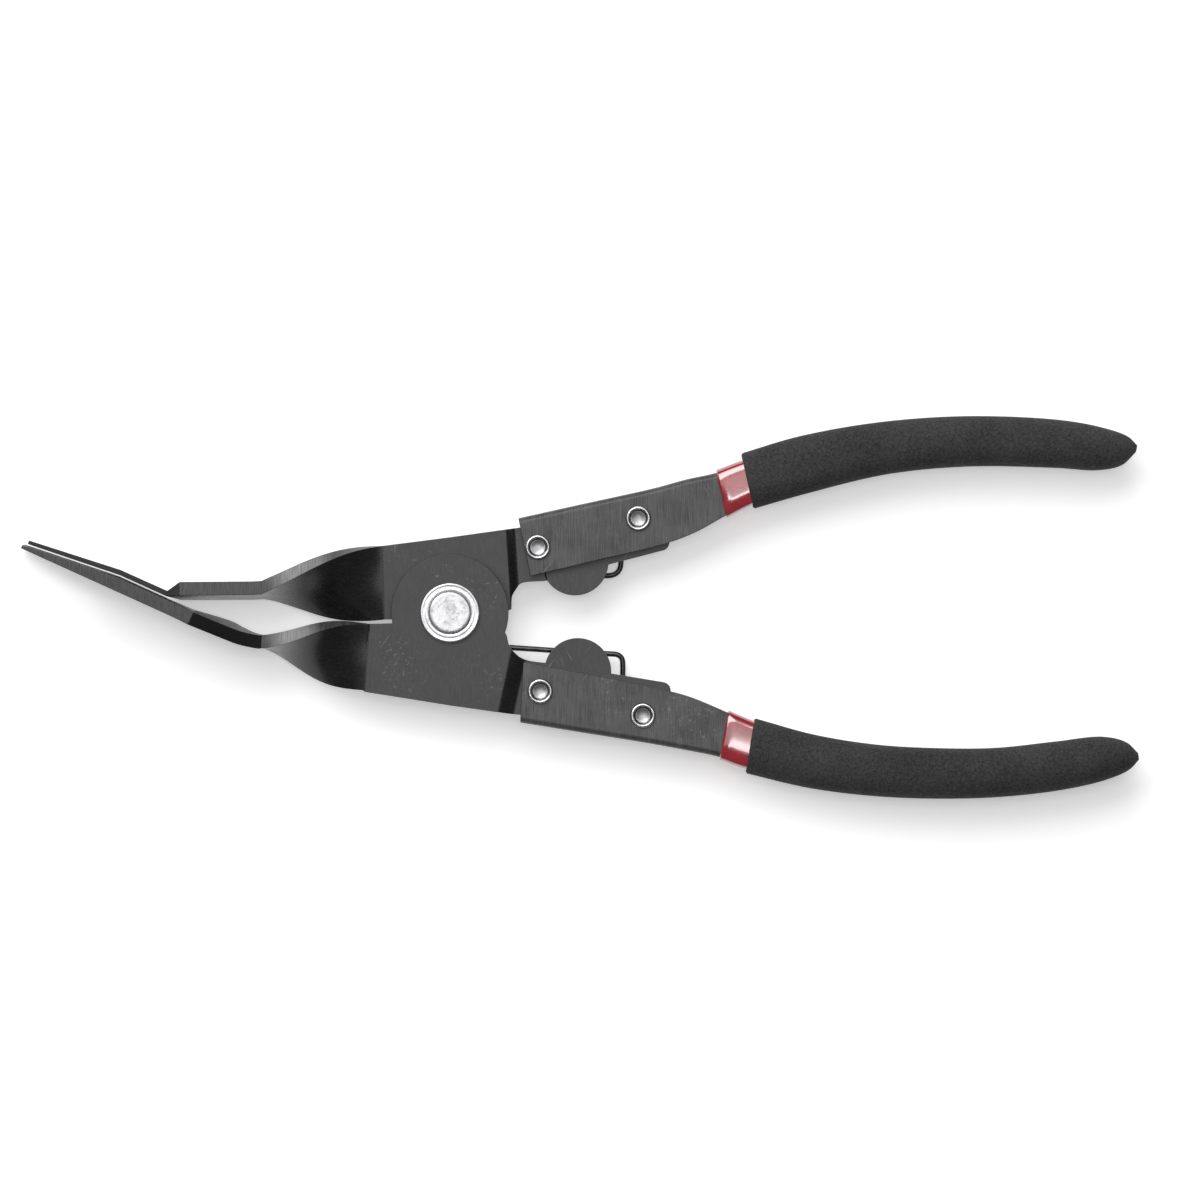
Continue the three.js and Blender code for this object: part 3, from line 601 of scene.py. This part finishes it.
JAW_MATERIALS = [PLATE_FACE, EDGE, SHADED_BEND_EDGE, SHADED_STRAP_FACE, SHADED_FORK_EDGE, PAINTED_GLARE_FACE]
ON_PLATE, ON_EDGE, ON_SHADED_BEND_EDGE, ON_SHADED_STRAP, ON_SHADED_FORK_EDGE, ON_PAINTED_GLARE = range(len(JAW_MATERIALS))


def strap_ring(x, y, z, heading, twist, width, thickness, lean=0.0):
    """Points round a strap's section: its first wide face, then its second one back again."""
    along = math.radians(heading)
    across = Vector((math.sin(along), math.cos(along), 0))
    up = Vector((0, 0, 1))
    c, s = math.cos(math.radians(twist)), math.sin(math.radians(twist))
    wide = across * c + up * s
    wide.x += lean * c
    thick = up * c - across * s
    middle = Vector((x, y, z))
    points = []
    for v in (-1, 1):
        for i in range(ACROSS + 1):
            u = v * (1 - 2 * i / ACROSS)
            points.append(middle + wide * (u * width / 2) + thick * (v * thickness / 2))
    return points


def nose_point(s, height):
    a = math.radians(NOSE_ANGLE)
    return (
        NOSE_START[0] - s * math.cos(a) + height * math.sin(a),
        NOSE_START[1] + s * math.sin(a) + height * math.cos(a),
    )


def lower_fork_thickness(s):
    return lerp(PLATE, TIP_THICKNESS, max(0, (s - KNEE_S) / (NOSE_LENGTH - KNEE_S)))


def between(stations, steps):
    """Stations with evenly spaced ones added between each pair, on smooth curves."""
    vectors = [Vector(station) for station in stations]
    last = len(vectors) - 1
    return [tuple(catmull(vectors, i / (steps * last))) for i in range(steps * last + 1)]


def lower_strap():
    """Stations (x, y, z, heading, twist, width, thickness, lean) from the plate to the tip.

    With them come the rows of the bend, whose edges get painted shade and whose inner face gets
    painted glare, and the first row of the fork, which is None here.
    """
    centre = [Vector(p) for p in (
        (-15.5, -9.75), (-17, -9.65), (-26.7, -8.5), (-33, -7.5), (-37, -6.75), (-40.4, -6.25),
    )]
    start, end, easing = -17.0, -41.0, 0.7
    plate_z = FRONT_PLATE_Z + PLATE / 2
    stations = []
    for i in range(2, TWIST_STEPS + 1):
        t = i / TWIST_STEPS
        x = lerp(start, end, t)
        twist = 90 * lerp(t, smoothstep(t), easing)
        stations.append((
            x, curve_at_x(centre, x), lerp(plate_z, MID_Z, smoothstep(t)),
            4 * t, twist, LOWER_STRAP_WIDTH, PLATE, 0.1 * (1 - t),
        ))
    bend = [stations.pop()]
    bend_points = ((-43, -5.75, 12, 91), (-45.5, -4.85, 19.5, 93), (-48.3, -3.6, 24.4, 94))
    for x, y, heading, twist in bend_points:
        flare = (x - end) / (NOSE_START[0] - end)
        width = lerp(LOWER_STRAP_WIDTH, LOWER_FORK_WIDTH, flare)
        bend.append((x, y, MID_Z, heading, twist, width, PLATE, 0.0))
    bend.append((*nose_point(0, PLATE / 2), MID_Z, NOSE_ANGLE, 91, LOWER_FORK_WIDTH, PLATE, 0.0))
    stations += between(bend, 5)
    bend_end = len(stations) - 1
    for s in (1, 2.5, 4, 8, 12, KNEE_S - 1, KNEE_S, KNEE_S + 1, 24, 31, NOSE_LENGTH):
        thickness = lower_fork_thickness(s)
        twist = lerp(91, 90, min(s / 4, 1))
        x, y = nose_point(s, thickness / 2)
        stations.append((x, y, MID_Z, NOSE_ANGLE, twist, LOWER_FORK_WIDTH, thickness, 0.0))
    return stations, {"dark": (TWIST_STEPS - 2, bend_end), "fork": None}


def upper_strap():
    """The same for the upper jaw, whose strap drops onto the lower fork and is ground thin."""
    centre = [Vector(p) for p in (
        (-11.5, 6.45), (-14, 6.4), (-20, 6.05), (-25.8, 5.75),
        (-32.3, 5.55), (-38.7, 5.1), (-40.6, 4.8),
    )]
    start, end, easing, full_twist = -14.0, -40.4, 0.35, 85.4
    plate_z = REAR_PLATE_Z + PLATE / 2
    stations = []
    for i in range(2, TWIST_STEPS + 1):
        t = i / TWIST_STEPS
        x = lerp(start, end, t)
        twist = full_twist * lerp(t, smoothstep(t), easing)
        stations.append((
            x, curve_at_x(centre, x), lerp(plate_z, MID_Z, smoothstep(t)),
            0.0, twist, UPPER_STRAP_WIDTH, PLATE, -0.07 * (1 - t),
        ))
    flat_from = (-42.5, 4.72, MID_Z, 0.0, full_twist, UPPER_STRAP_WIDTH, PLATE, 0.0)
    flat_to = (-58, 4.6, MID_Z, 0.0, full_twist, UPPER_STRAP_WIDTH, PLATE, 0.0)
    steps = 10
    for i in range(steps + 1):
        stations.append(tuple(lerp(a, b, i / steps) for a, b in zip(flat_from, flat_to)))
    forks = (
        (7, 1.14), (12, 1.12), (KNEE_S - 1, 1.103), (KNEE_S, 1.1), (24, 1.012),
        (NOSE_LENGTH - UPPER_FORK_BACK, 0.8),
    )
    for s, thickness in forks:
        height = lower_fork_thickness(s) + FORK_GAP + thickness / 2
        x, y = nose_point(s, height)
        stations.append((
            x, y, MID_Z, NOSE_ANGLE, UPPER_FORK_TWIST, UPPER_FORK_WIDTH, thickness, 0.0,
        ))
    return stations, {"dark": (0, -1), "fork": len(stations) - len(forks)}


def arc(cx, cy, radius, start, end, steps):
    """Points on an arc from one angle to another, in degrees."""
    angles = [math.radians(lerp(start, end, i / steps)) for i in range(steps + 1)]
    return [(cx + radius * math.cos(a), cy + radius * math.sin(a)) for a in angles]


def curved(points, steps=5):
    """A smooth line through points."""
    vectors = [Vector(p) for p in points]
    last = len(vectors) - 1
    return [tuple(catmull(vectors, i / (steps * last))) for i in range(steps * last + 1)]


def with_tab(outline, centre, clockwise):
    """The outline with a half-round tab joined to it: the arc replaces what lies inside."""
    cx, cy = centre
    inside = [math.hypot(x - cx, y - cy) < TAB_R for x, y in outline]
    first = inside.index(True)
    last = len(inside) - 1 - inside[::-1].index(True)

    def crossing(outer, inner):
        low, high = 0.0, 1.0
        for _ in range(HALVINGS):
            t = (low + high) / 2
            x, y = lerp(outer[0], inner[0], t), lerp(outer[1], inner[1], t)
            if math.hypot(x - cx, y - cy) > TAB_R:
                low = t
            else:
                high = t
        return math.degrees(math.atan2(y - cy, x - cx))

    start = crossing(outline[first - 1], outline[first])
    end = crossing(outline[last + 1], outline[last])
    if clockwise and end > start:
        end -= 360
    if not clockwise and end < start:
        end += 360
    return outline[:first] + arc(cx, cy, TAB_R, start, end, 40) + outline[last + 1:]


def jaw(name, outline, first_is_high, plate_z, joggle, strap, holes, body):
    """A plate and its strap in one mesh.  The outline starts and ends at the strap's root."""
    bm = bmesh.new()
    stations, spans = strap
    root_from, root_to = Vector(outline[-1]), Vector(outline[0])
    root = [tuple(root_from.lerp(root_to, i / ACROSS)) for i in range(1, ACROSS)]
    ring = outline + root
    top = [bm.verts.new((x, y, plate_z + PLATE)) for x, y in ring]
    bottom = [bm.verts.new((x, y, plate_z)) for x, y in ring]
    bm.faces.new(top)
    bm.faces.new(bottom[::-1])
    for i in range(len(outline) - 1):
        bm.faces.new((bottom[i], bottom[i + 1], top[i + 1], top[i]))
    count = len(outline)
    end_indices = [count - 1] + list(range(count, len(ring))) + [0]
    if not first_is_high:
        end_indices.reverse()
    # end_indices now runs from the strap's low-u corner to its high-u corner
    rings = [[bottom[i] for i in end_indices] + [top[i] for i in reversed(end_indices)]]
    rings += [new_ring(bm, strap_ring(*station)) for station in stations]
    rows = skin(bm, rings, cap_start=False)
    for index, row in enumerate(rows):
        # The strap's faces get the darker strap copy: painted shade.
        for face in row:
            face.material_index = ON_SHADED_STRAP
        in_bend = spans["dark"][0] <= index <= spans["dark"][1]
        in_fork = spans["fork"] is not None and index >= spans["fork"]
        for side in (ACROSS, 2 * ACROSS + 1):
            row[side].material_index = ON_EDGE
            # The bend's edges get the near-black copy: painted shade.
            if in_bend:
                row[side].material_index = ON_SHADED_BEND_EDGE
            # The fork's edges get the darker fork copy: painted shade.
            if in_fork:
                row[side].material_index = ON_SHADED_FORK_EDGE
        # The bend's inner wide face gets the lighter streaked copy: painted glare.
        if in_bend:
            for face in row[:ACROSS]:
                face.material_index = ON_PAINTED_GLARE

    # The tang is stepped in Z between two lines that lie across the direction joggle[0].
    direction, start, end = joggle
    a = math.radians(direction)
    normal = Vector((math.cos(a), math.sin(a), 0))
    for i in range(JOGGLE_STEPS + 1):
        distance = lerp(start, end, i / JOGGLE_STEPS)
        geometry = bm.verts[:] + bm.edges[:] + bm.faces[:]
        bmesh.ops.bisect_plane(bm, geom=geometry, plane_co=normal * distance, plane_no=normal)
    for vertex in bm.verts:
        share = smoothstep((vertex.co.dot(normal) - start) / (end - start))
        vertex.co.z += share * (TANG_Z - plate_z)
    bm.normal_update()
    # Faces that lean on the offset step get the darker strap copy too: painted shade.
    for face in bm.faces:
        leans = JOGGLE_FACE_Z[0] < abs(face.normal.z) < JOGGLE_FACE_Z[1]
        if face.material_index == ON_PLATE and leans:
            face.material_index = ON_SHADED_STRAP

    obj = finish_mesh(bm, name, JAW_MATERIALS, body)
    cutters = [cylinder(0, 0, PIVOT_HOLE_R, 0, THROUGH, PIVOT_SIDES)]
    cutters += [cylinder(*hole, RIVET_HOLE_R, 0, THROUGH, RIVET_HOLE_SIDES) for hole in holes]
    cutters.append(fork_slot())
    cut(obj, cutters)
    soften(obj, 0.1)
    return obj


def fork_slot():
    """The slot between the fork's tines, round at its inner end."""
    half = SLOT_WIDTH / 2
    beyond = 12                 # how far the cutter reaches past the tip and the fork's faces
    outline = [(-beyond, -half)] + arc(SLOT_LENGTH - half, 0, half, -90, 90, 32)
    outline.append((-beyond, half))
    a = math.radians(NOSE_ANGLE)
    tip = nose_point(NOSE_LENGTH, 0)
    bm = bmesh.new()
    prism(bm, outline, -beyond, beyond)
    for vertex in bm.verts:
        along, width, height = vertex.co
        vertex.co = (
            tip[0] + along * math.cos(a) + height * math.sin(a),
            tip[1] - along * math.sin(a) + height * math.cos(a),
            MID_Z + width,
        )
    return bm


lower_rivets = [centre_of(f"lower_tubular_rivet_{i}") for i in (1, 2)]
upper_rivets = [centre_of(f"upper_tubular_rivet_{i}") for i in (1, 2)]

# Outlines of the plates, from the strap's root round the boss, the tang and back to the root.
lower_outline = [(-17.2, -2.4), (-12.4, -2.32)] + arc(0, 0, FRONT_BOSS_R, 190.5, -20, 110)
lower_outline += curved([
    (12.2, -4.9), (12.8, -7.2), (13.8, -8.5), (15.3, -9.75), (17.2, -10.4), (20.6, -10.85),
])
lower_outline += [(34.2, -13.05), (45.9, -14.97)] + arc(45.7, -16.77, 1.8, 80, -10, 16)
lower_outline += [(45.9, -27), (15.4, -22), (13.4, -21.85), (0, -19.95)]
lower_outline += [(-9, -18.5), (-18.2, -17.05)]
upper_outline = [(-14, -1.5), (-11.9, -1.5)] + arc(0, 0, REAR_BOSS_R, 187.3, 361, 90)
upper_outline += curved([(13.2, 0.7), (13.4, 3.6), (14.2, 5), (15, 6.1), (16, 6.5), (20.4, 6.8)])
upper_outline += [(33.6, 10.2), (45.6, 13.3)] + arc(45.4, 15.1, 1.8, -76, 14, 16)
upper_outline += [(44.8, 25.2), (15.1, 18.3), (13.6, 18.1), (0, 16.2), (-14.4, 14.35)]

lower_jaw = jaw(
    "lower_jaw_visual", with_tab(lower_outline, (27.5, -12.7), True), True, FRONT_PLATE_Z,
    (-12.1, 14.2, 18.4), lower_strap(), [(p.x, p.y) for p in lower_rivets], LOWER,
)
upper_jaw = jaw(
    "upper_jaw_visual", with_tab(upper_outline, (26.9, 10.9), False), False, REAR_PLATE_Z,
    (3.8, 13.1, 15.2), upper_strap(), [(p.x, p.y) for p in upper_rivets], UPPER,
)
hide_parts("lower_jaw_plate")
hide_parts("upper_jaw_plate")


# ---- Handle channels ------------------------------------------------------------------------
def pairs(stations, steps):
    """Evenly spaced (outer, inner) points on smooth curves through stations."""
    outer = [Vector(p[:2]) for p in stations]
    inner = [Vector(p[2:]) for p in stations]
    return [(catmull(outer, i / steps), catmull(inner, i / steps)) for i in range(steps + 1)]


def channel_ring(outer, inner):
    """The U section between an outer and an inner edge point, its web at the outer one."""
    inward = (inner - outer).normalized()
    steps = 10
    bend = []
    for i in range(steps + 1):
        angle = i / steps * math.pi / 2
        bend.append((BEND_R * (1 - math.sin(angle)), CHANNEL_HALF - BEND_R * (1 - math.cos(angle))))
    hollow = CHANNEL_HALF - SHEET
    width = (inner - outer).length
    section = [(width, CHANNEL_HALF)] + bend + [(d, -z) for d, z in reversed(bend)]
    section += [(width, -CHANNEL_HALF), (width, -hollow)]
    section += [(SHEET, -hollow), (SHEET, hollow), (width, hollow)]
    return [(*(outer + inward * d), MID_Z + z) for d, z in section]


def channel(name, straight, covered, rivets, hook, body):
    """A handle channel, with the rivets' holes and the one that the spring hooks into."""
    bm = bmesh.new()
    rings = [new_ring(bm, channel_ring(*pair)) for pair in pairs(straight + covered, 60)]
    skin(bm, rings)
    obj = finish_mesh(bm, name, [CHANNEL], body)
    cutters = [cylinder(p.x, p.y, RIVET_HOLE_R, 0, THROUGH, RIVET_HOLE_SIDES) for p in rivets]
    cutters.append(cylinder(*hook, HOOK_HOLE_R, 0, MID_Z - CHANNEL_HALF + SHEET + 0.1, 32))
    cut(obj, cutters)
    soften(obj, 0.13, 2, 50)
    return obj


lower_channel = channel(
    "lower_channel_visual", LOWER_STRAIGHT, LOWER_COVERED, lower_rivets, LOWER_HOOK, LOWER,
)
upper_channel = channel(
    "upper_channel_visual", UPPER_STRAIGHT, UPPER_COVERED, upper_rivets, UPPER_HOOK, UPPER,
)
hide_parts("lower_handle_channel")
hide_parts("upper_handle_channel")


# ---- Liners and sleeves ---------------------------------------------------------------------
GRIP_FACETS = 72                # sides of a liner's or a sleeve's section


def grip_ring(outer, inner, half, power, inset=0.0):
    """A rounded section between two edge points; larger powers are squarer."""
    inward = (inner - outer).normalized()
    middle = (outer + inner) / 2
    reach = (inner - outer).length / 2 - inset
    height = half - inset
    points = []
    for i in range(GRIP_FACETS):
        angle = 2 * math.pi * i / GRIP_FACETS
        c, s = math.cos(angle), math.sin(angle)
        across = math.copysign(abs(c) ** (2 / power), c) * reach
        up = math.copysign(abs(s) ** (2 / power), s) * height
        points.append((*(middle + inward * across), MID_Z + up))
    return points


def forward(pair_list, index):
    """The unit direction in which the stations run."""
    low, high = max(index - 1, 0), min(index + 1, len(pair_list) - 1)
    ahead = sum(pair_list[high], Vector((0, 0)))
    behind = sum(pair_list[low], Vector((0, 0)))
    return ((ahead - behind) / 2).normalized()


def widened(pair, distance):
    outer, inner = pair
    step = (inner - outer).normalized() * distance
    return outer - step, inner + step


def moved(pair, direction, distance):
    return pair[0] + direction * distance, pair[1] + direction * distance


def liner(name, covered, body):
    """The dipped skin on the covered channel: a shell, open and rolled at its mouth."""
    power = 4
    steps = 160
    lip = 0.28                  # how far the mouth is rounded over
    slope = 2.2                 # length over which the mouth flares up to the full height
    lowered = 0.3               # how much lower the mouth is
    wall = LINER_WALL - 0.02
    line = [widened(p, LINER_WALL) for p in pairs(covered, steps)]
    direction = forward(line, 0)
    bm = bmesh.new()
    rings = []
    for i in range(steps, -1, -1):
        rings.append(grip_ring(*line[i], LINER_HALF, power, wall))
    for angle in (150, 120, 90, 60, 30):
        a = math.radians(angle)
        inset = wall / 2 * (1 - math.cos(a))
        at = moved(line[0], direction, lip * (1 - math.sin(a)))
        rings.append(grip_ring(*at, LINER_HALF - lowered, power, inset))
    for i in range(1, steps + 1):
        from_mouth = (line[i][0] - line[0][0]).length
        drop = lowered * max(0, 1 - from_mouth / slope) ** 2
        rings.append(grip_ring(*line[i], LINER_HALF - drop, power))
    built = [new_ring(bm, ring) for ring in rings]
    skin(bm, built)
    return finish_mesh(bm, name, [RED], body)


def sleeve(name, grip, body):
    """The outer sleeve: thick, square-cut at its mouth and rounded at its tip."""
    steps = 150
    power = 2.3
    wall = 1.5
    depth = 12                  # stations by which the mouth is hollow
    inside = 0.012              # keeps the skin just inside the solid's faceted one
    mouth_share = 0.3           # share of the length over which the mouth swells to full height
    line = pairs(grip, steps)
    bm = bmesh.new()

    def half_at(index):
        outer, inner = line[index]
        fullness = min(1, (inner - outer).length / SLEEVE_FULL_WIDTH)
        swelling = smoothstep(index / (steps * mouth_share))
        return SLEEVE_HALF * fullness * lerp(SLEEVE_MOUTH, 1, swelling)

    rings = []
    for i in range(depth, -1, -1):
        rings.append(grip_ring(*line[i], half_at(i), power, wall))
    direction = forward(line, 0)
    for along, inset in ((0, wall - 0.25), (0, 0.45), (0.14, 0.16), (0.45, inside)):
        rings.append(grip_ring(*moved(line[0], direction, along), half_at(0), power, inset))
    for i in range(2, steps + 1):
        rings.append(grip_ring(*line[i], half_at(i), power, inside))
    tip = line[-1]
    tip_direction = forward(line, steps)
    for along, share in ((0.02, 0.7), (0.04, 0.35)):
        middle = (tip[0] + tip[1]) / 2
        narrowed = moved([middle + (p - middle) * share for p in tip], tip_direction, along)
        rings.append(grip_ring(*narrowed, half_at(steps) * share, power))
    built = [new_ring(bm, ring) for ring in rings]
    skin(bm, built)
    return finish_mesh(bm, name, [RUBBER], body)


for half, covered, grip, body in (
    ("lower", LOWER_COVERED, LOWER_GRIP, LOWER),
    ("upper", UPPER_COVERED, UPPER_GRIP, UPPER),
):
    red = liner(f"{half}_liner_visual", covered, body)
    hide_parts(f"{half}_grip_liner")
    black = sleeve(f"{half}_sleeve_visual", grip, body)
    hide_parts(f"{half}_grip_sleeve")


# ---- Turned pieces --------------------------------------------------------------------------
def turned(name, profile, x, y, materials, body, sides=PIVOT_SIDES, bands=()):
    """A piece turned about the vertical through (x, y), from (radius, height) points.

    Each band (first row, last row, slot) gives another material to some rows of its faces.
    """
    bm = bmesh.new()
    rings = [
        new_ring(bm, [(*point, height) for point in circle(x, y, radius, sides)])
        for radius, height in profile
    ]
    rows = skin(bm, rings)
    for first, last, material_slot in bands:
        for row in rows[first:last + 1]:
            for face in row:
                face.material_index = material_slot
    obj = finish_mesh(bm, name, materials, body)
    soften(obj, 0.05, 2, 40)
    return obj


def tubular_rivet(name, body):
    """A rolled flange round a dished bore, and a low round head on the far side."""
    low, high = heights_of(name)
    middle = centre_of(name)
    edge = 2.7                  # radius of both heads
    roll_r = 0.42               # radius of the flange's roll
    dish_r = 1.6
    dish_depth = 0.28
    front = high - 0.65         # height of the channel's face under the flange
    back = low + 0.7
    profile = [
        (0.01, low), (0.9, low + 0.02), (1.7, low + 0.12), (2.3, low + 0.33), (edge, low + 0.55),
        (edge, back), (2.1, back), (2.1, front), (2.55, front), (edge, front + 0.14),
    ]
    for angle in range(0, 181, 20):
        a = math.radians(angle)
        profile.append((edge - roll_r + roll_r * math.cos(a), front + 0.2 + 0.43 * math.sin(a)))
    bore_from = len(profile) - 2
    profile += [(1.8, front + 0.02), (1.76, front - 0.1), (1.72, front - 0.3), (1.66, front - 0.5)]
    dish_from = len(profile)
    for radius in (dish_r, 1.3, 1.0, 0.7, 0.35, 0.01):
        profile.append((radius, front - 0.5 - dish_depth * (1 - (radius / dish_r) ** 2)))
    on_shaded_bore, on_shaded_dish = 1, 2     # slots of the materials below
    # The flange's outer side and the bore's walls get the dark copy of the plating, and the dish
    # the mid-grey copy: painted shade.
    bands = (
        (7, 11, on_shaded_bore), (bore_from, dish_from - 1, on_shaded_bore), (dish_from, dish_from + 5, on_shaded_dish),
    )
    obj = turned(
        f"{name}_visual", profile, middle.x, middle.y, [PLATED, SHADED_BORE, SHADED_DISH], body,
        RIVET_SIDES, bands,
    )
    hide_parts(name)


for half, body in (("lower", LOWER), ("upper", UPPER)):
    for number in (1, 2):
        tubular_rivet(f"{half}_tubular_rivet_{number}", body)


def pivot_rivet():
    """The rivet that the halves turn on: a slightly domed front head and a broad rear one."""
    low, high = heights_of("pivot_rivet")
    shaft, head, rear = 4.03, 4.45, 5.6         # radii
    rear_top = low + 1.6
    profile = [
        (0.01, low), (rear - 0.9, low), (rear - 0.4, low + 0.12), (rear - 0.1, low + 0.42),
        (rear, low + 0.8), (rear, rear_top), (shaft, rear_top), (shaft, high - 0.6),
        (head, high - 0.6), (head, high - 0.22), (head - 0.07, high - 0.08),
        (head - 0.22, high - 0.015),
    ]
    profile += [(r, high - 0.03 * (r / head) ** 2) for r in (3.6, 2.6, 1.5, 0.5, 0.01)]
    rivet = turned("pivot_rivet_visual", profile, 0, 0, [TURNED], LOWER)
    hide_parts("pivot_rivet")


def front_washer():
    """The bright ring round the rivet's front head, with a groove turned into its face."""
    low, top = heights_of("pivot_front_washer")
    outer = 6.4
    profile = [
        (PIVOT_HOLE_R, low), (outer - 0.1, low), (outer, low + 0.1),
        (outer, top - 0.22), (outer - 0.08, top - 0.08), (outer - 0.25, top), (5.95, top),
        (5.82, top - 0.05), (5.35, top - 0.06), (5.22, top - 0.01), (4.95, top),
        (4.85, top - 0.03), (4.62, top - 0.04), (4.56, top - 0.3), (PIVOT_HOLE_R, top - 0.3),
    ]
    bm = bmesh.new()
    rings = [
        new_ring(bm, [(*point, height) for point in circle(0, 0, radius, PIVOT_SIDES)])
        for radius, height in profile
    ]
    skin(bm, rings + rings[:1], cap_start=False, cap_end=False)
    washer = finish_mesh(bm, "pivot_front_washer_visual", [RING], LOWER)
    soften(washer, 0.03, 2, 50)
    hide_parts("pivot_front_washer")


pivot_rivet()
front_washer()


# ---- Torsion spring -------------------------------------------------------------------------
def rounded_path(points, radius, steps=6):
    """A polyline with its corners rounded by quadratic arcs."""
    path = [points[0]]
    for before, corner, after in zip(points, points[1:], points[2:]):
        reach = min(radius, (corner - before).length * 0.49, (after - corner).length * 0.49)
        start = corner + (before - corner).normalized() * reach
        end = corner + (after - corner).normalized() * reach
        for i in range(steps + 1):
            t = i / steps
            path.append(start * (1 - t) ** 2 + corner * 2 * t * (1 - t) + end * t * t)
    path.append(points[-1])
    return path


def spring():
    """One wire: hooked into the lower channel, round the collar and hooked into the upper one."""
    upper_z = LOWER_LEG_Z + (COIL_START - COIL_END) / 360 * COIL_PITCH
    hook_top = MID_Z - CHANNEL_HALF + SHEET - 0.1
    lower_tail = [
        Vector((*LOWER_HOOK, hook_top)), Vector((*LOWER_HOOK, LOWER_LEG_Z)),
        Vector((LOWER_HOOK[0], -9.1, LOWER_LEG_Z)), Vector((33.2, -8.95, LOWER_LEG_Z)),
        Vector((21.5, -8.2, LOWER_LEG_Z)),
    ]
    coil = []
    steps = 150
    for i in range(steps + 1):
        angle = math.radians(lerp(COIL_START, COIL_END, i / steps))
        height = lerp(LOWER_LEG_Z, upper_z, i / steps)
        coil.append(Vector((COIL_R * math.cos(angle), COIL_R * math.sin(angle), height)))
    upper_tail = [
        Vector((19, 7.4, upper_z)), Vector((31, 7.8, upper_z)),
        Vector((UPPER_HOOK[0], 7.95, upper_z)),
        Vector((*UPPER_HOOK, upper_z)), Vector((*UPPER_HOOK, hook_top)),
    ]
    corner_r = 3.2
    path = rounded_path(lower_tail + coil[:1], corner_r)[:-1] + coil
    path += rounded_path(coil[-1:] + upper_tail, corner_r)[1:]
    bm = bmesh.new()
    sides = 16
    normal = Vector((1, 0, 0))
    rings = []
    for i, point in enumerate(path):
        tangent = (path[min(i + 1, len(path) - 1)] - path[max(i - 1, 0)]).normalized()
        normal = (normal - tangent * normal.dot(tangent)).normalized()
        side = tangent.cross(normal)
        section = circle(0, 0, 1, sides)
        rings.append(new_ring(bm, [point + (normal * u + side * v) * WIRE_R for u, v in section]))
    skin(bm, rings)
    obj = finish_mesh(bm, "torsion_spring_visual", [WIRE], None)
    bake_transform(obj)
    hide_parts("torsion_spring")


spring()

# ---- CAD pieces that are kept ---------------------------------------------------------------
for node in ("pivot_rear_washer", "spring_collar"):
    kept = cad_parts[node]
    kept.data.materials.clear()
    kept.data.materials.append(TURNED)

# ---- Floor, light and camera ----------------------------------------------------------------
FLOOR_REACH = 3.0               # in metres, as everything from here on
FLOOR_GAP = 0.00005             # keeps the floor clear of the lowest piece
floor_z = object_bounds()[0].z - FLOOR_GAP

floor_mesh = bpy.data.meshes.new("floor")
floor_corners = [
    (-FLOOR_REACH, -FLOOR_REACH, floor_z), (FLOOR_REACH, -FLOOR_REACH, floor_z),
    (FLOOR_REACH, FLOOR_REACH, floor_z), (-FLOOR_REACH, FLOOR_REACH, floor_z),
]
floor_mesh.from_pydata(floor_corners, [], [(0, 1, 2, 3)])
floor = bpy.data.objects.new("floor", floor_mesh)
bpy.context.scene.collection.objects.link(floor)
floor_look = Look("white_floor", Roughness=0.9, Specular_IOR_Level=0.1)
floor_tone = floor_look.noise(floor_look.mapped(), 0.01, 2.0, 0.5)
floor_look.color(floor_look.tint(floor_tone, (0.86, 0.86, 0.86), (0.9, 0.9, 0.9)))
floor_look.shader.inputs["Emission Color"].default_value = (1, 1, 1, 1)
floor_look.shader.inputs["Emission Strength"].default_value = 0.38
floor_mesh.materials.append(floor_look.material)


def area_light(name, place, target, width, height, power):
    """A soft panel of light at a place, facing a target; the camera doesn't see it."""
    data = bpy.data.lights.new(name, "AREA")
    data.shape = "RECTANGLE"
    data.size = width
    data.size_y = height
    data.energy = power
    obj = bpy.data.objects.new(name, data)
    obj.location = place
    obj.rotation_mode = "QUATERNION"
    obj.rotation_quaternion = (Vector(target) - Vector(place)).to_track_quat("-Z", "Y")
    obj.visible_camera = False
    bpy.context.scene.collection.objects.link(obj)


area_light("overhead", (0.03, 0.6, 1.2), (0.03, 0.6, 0), 1.5, 1.3, 5)
area_light("zenith", (0.03, 0.06, 1.2), (0.03, 0.06, 0), 0.4, 0.34, 2.5)
area_light("key", (-0.376, 0.816, 1.074), (0.03, 0, 0), 1.5, 1.0, 16)

world = bpy.data.worlds.new("studio")
world.use_nodes = True
world.node_tree.nodes["Background"].inputs["Color"].default_value = (0.12, 0.12, 0.12, 1)
world.node_tree.nodes["Background"].inputs["Strength"].default_value = 1.0
bpy.context.scene.world = world
bpy.context.scene.view_settings.view_transform = "Standard"

SPAN = 0.2583                   # width of the picture at the plates' height
DISTANCE = 3.2                  # height of the camera over the middle of the pliers
SENSOR = 36                     # millimetres, as Blender has it
CAMERA_X = 0.03228
CAMERA_Y = 0.044
AIM_Y = 0.0027
aim = Vector((CAMERA_X, AIM_Y, MID_Z * MM))
camera_data = bpy.data.cameras.new("camera")
camera_data.sensor_width = SENSOR
camera = bpy.data.objects.new("camera", camera_data)
camera.location = Vector((CAMERA_X, CAMERA_Y, MID_Z * MM + DISTANCE))
offset = aim - camera.location
camera_data.lens = SENSOR * offset.length / SPAN
camera_data.clip_start = 0.1
camera_data.clip_end = 20
camera.rotation_euler = (math.atan2(offset.y, -offset.z), 0, 0)
bpy.context.scene.collection.objects.link(camera)
bpy.context.scene.camera = camera
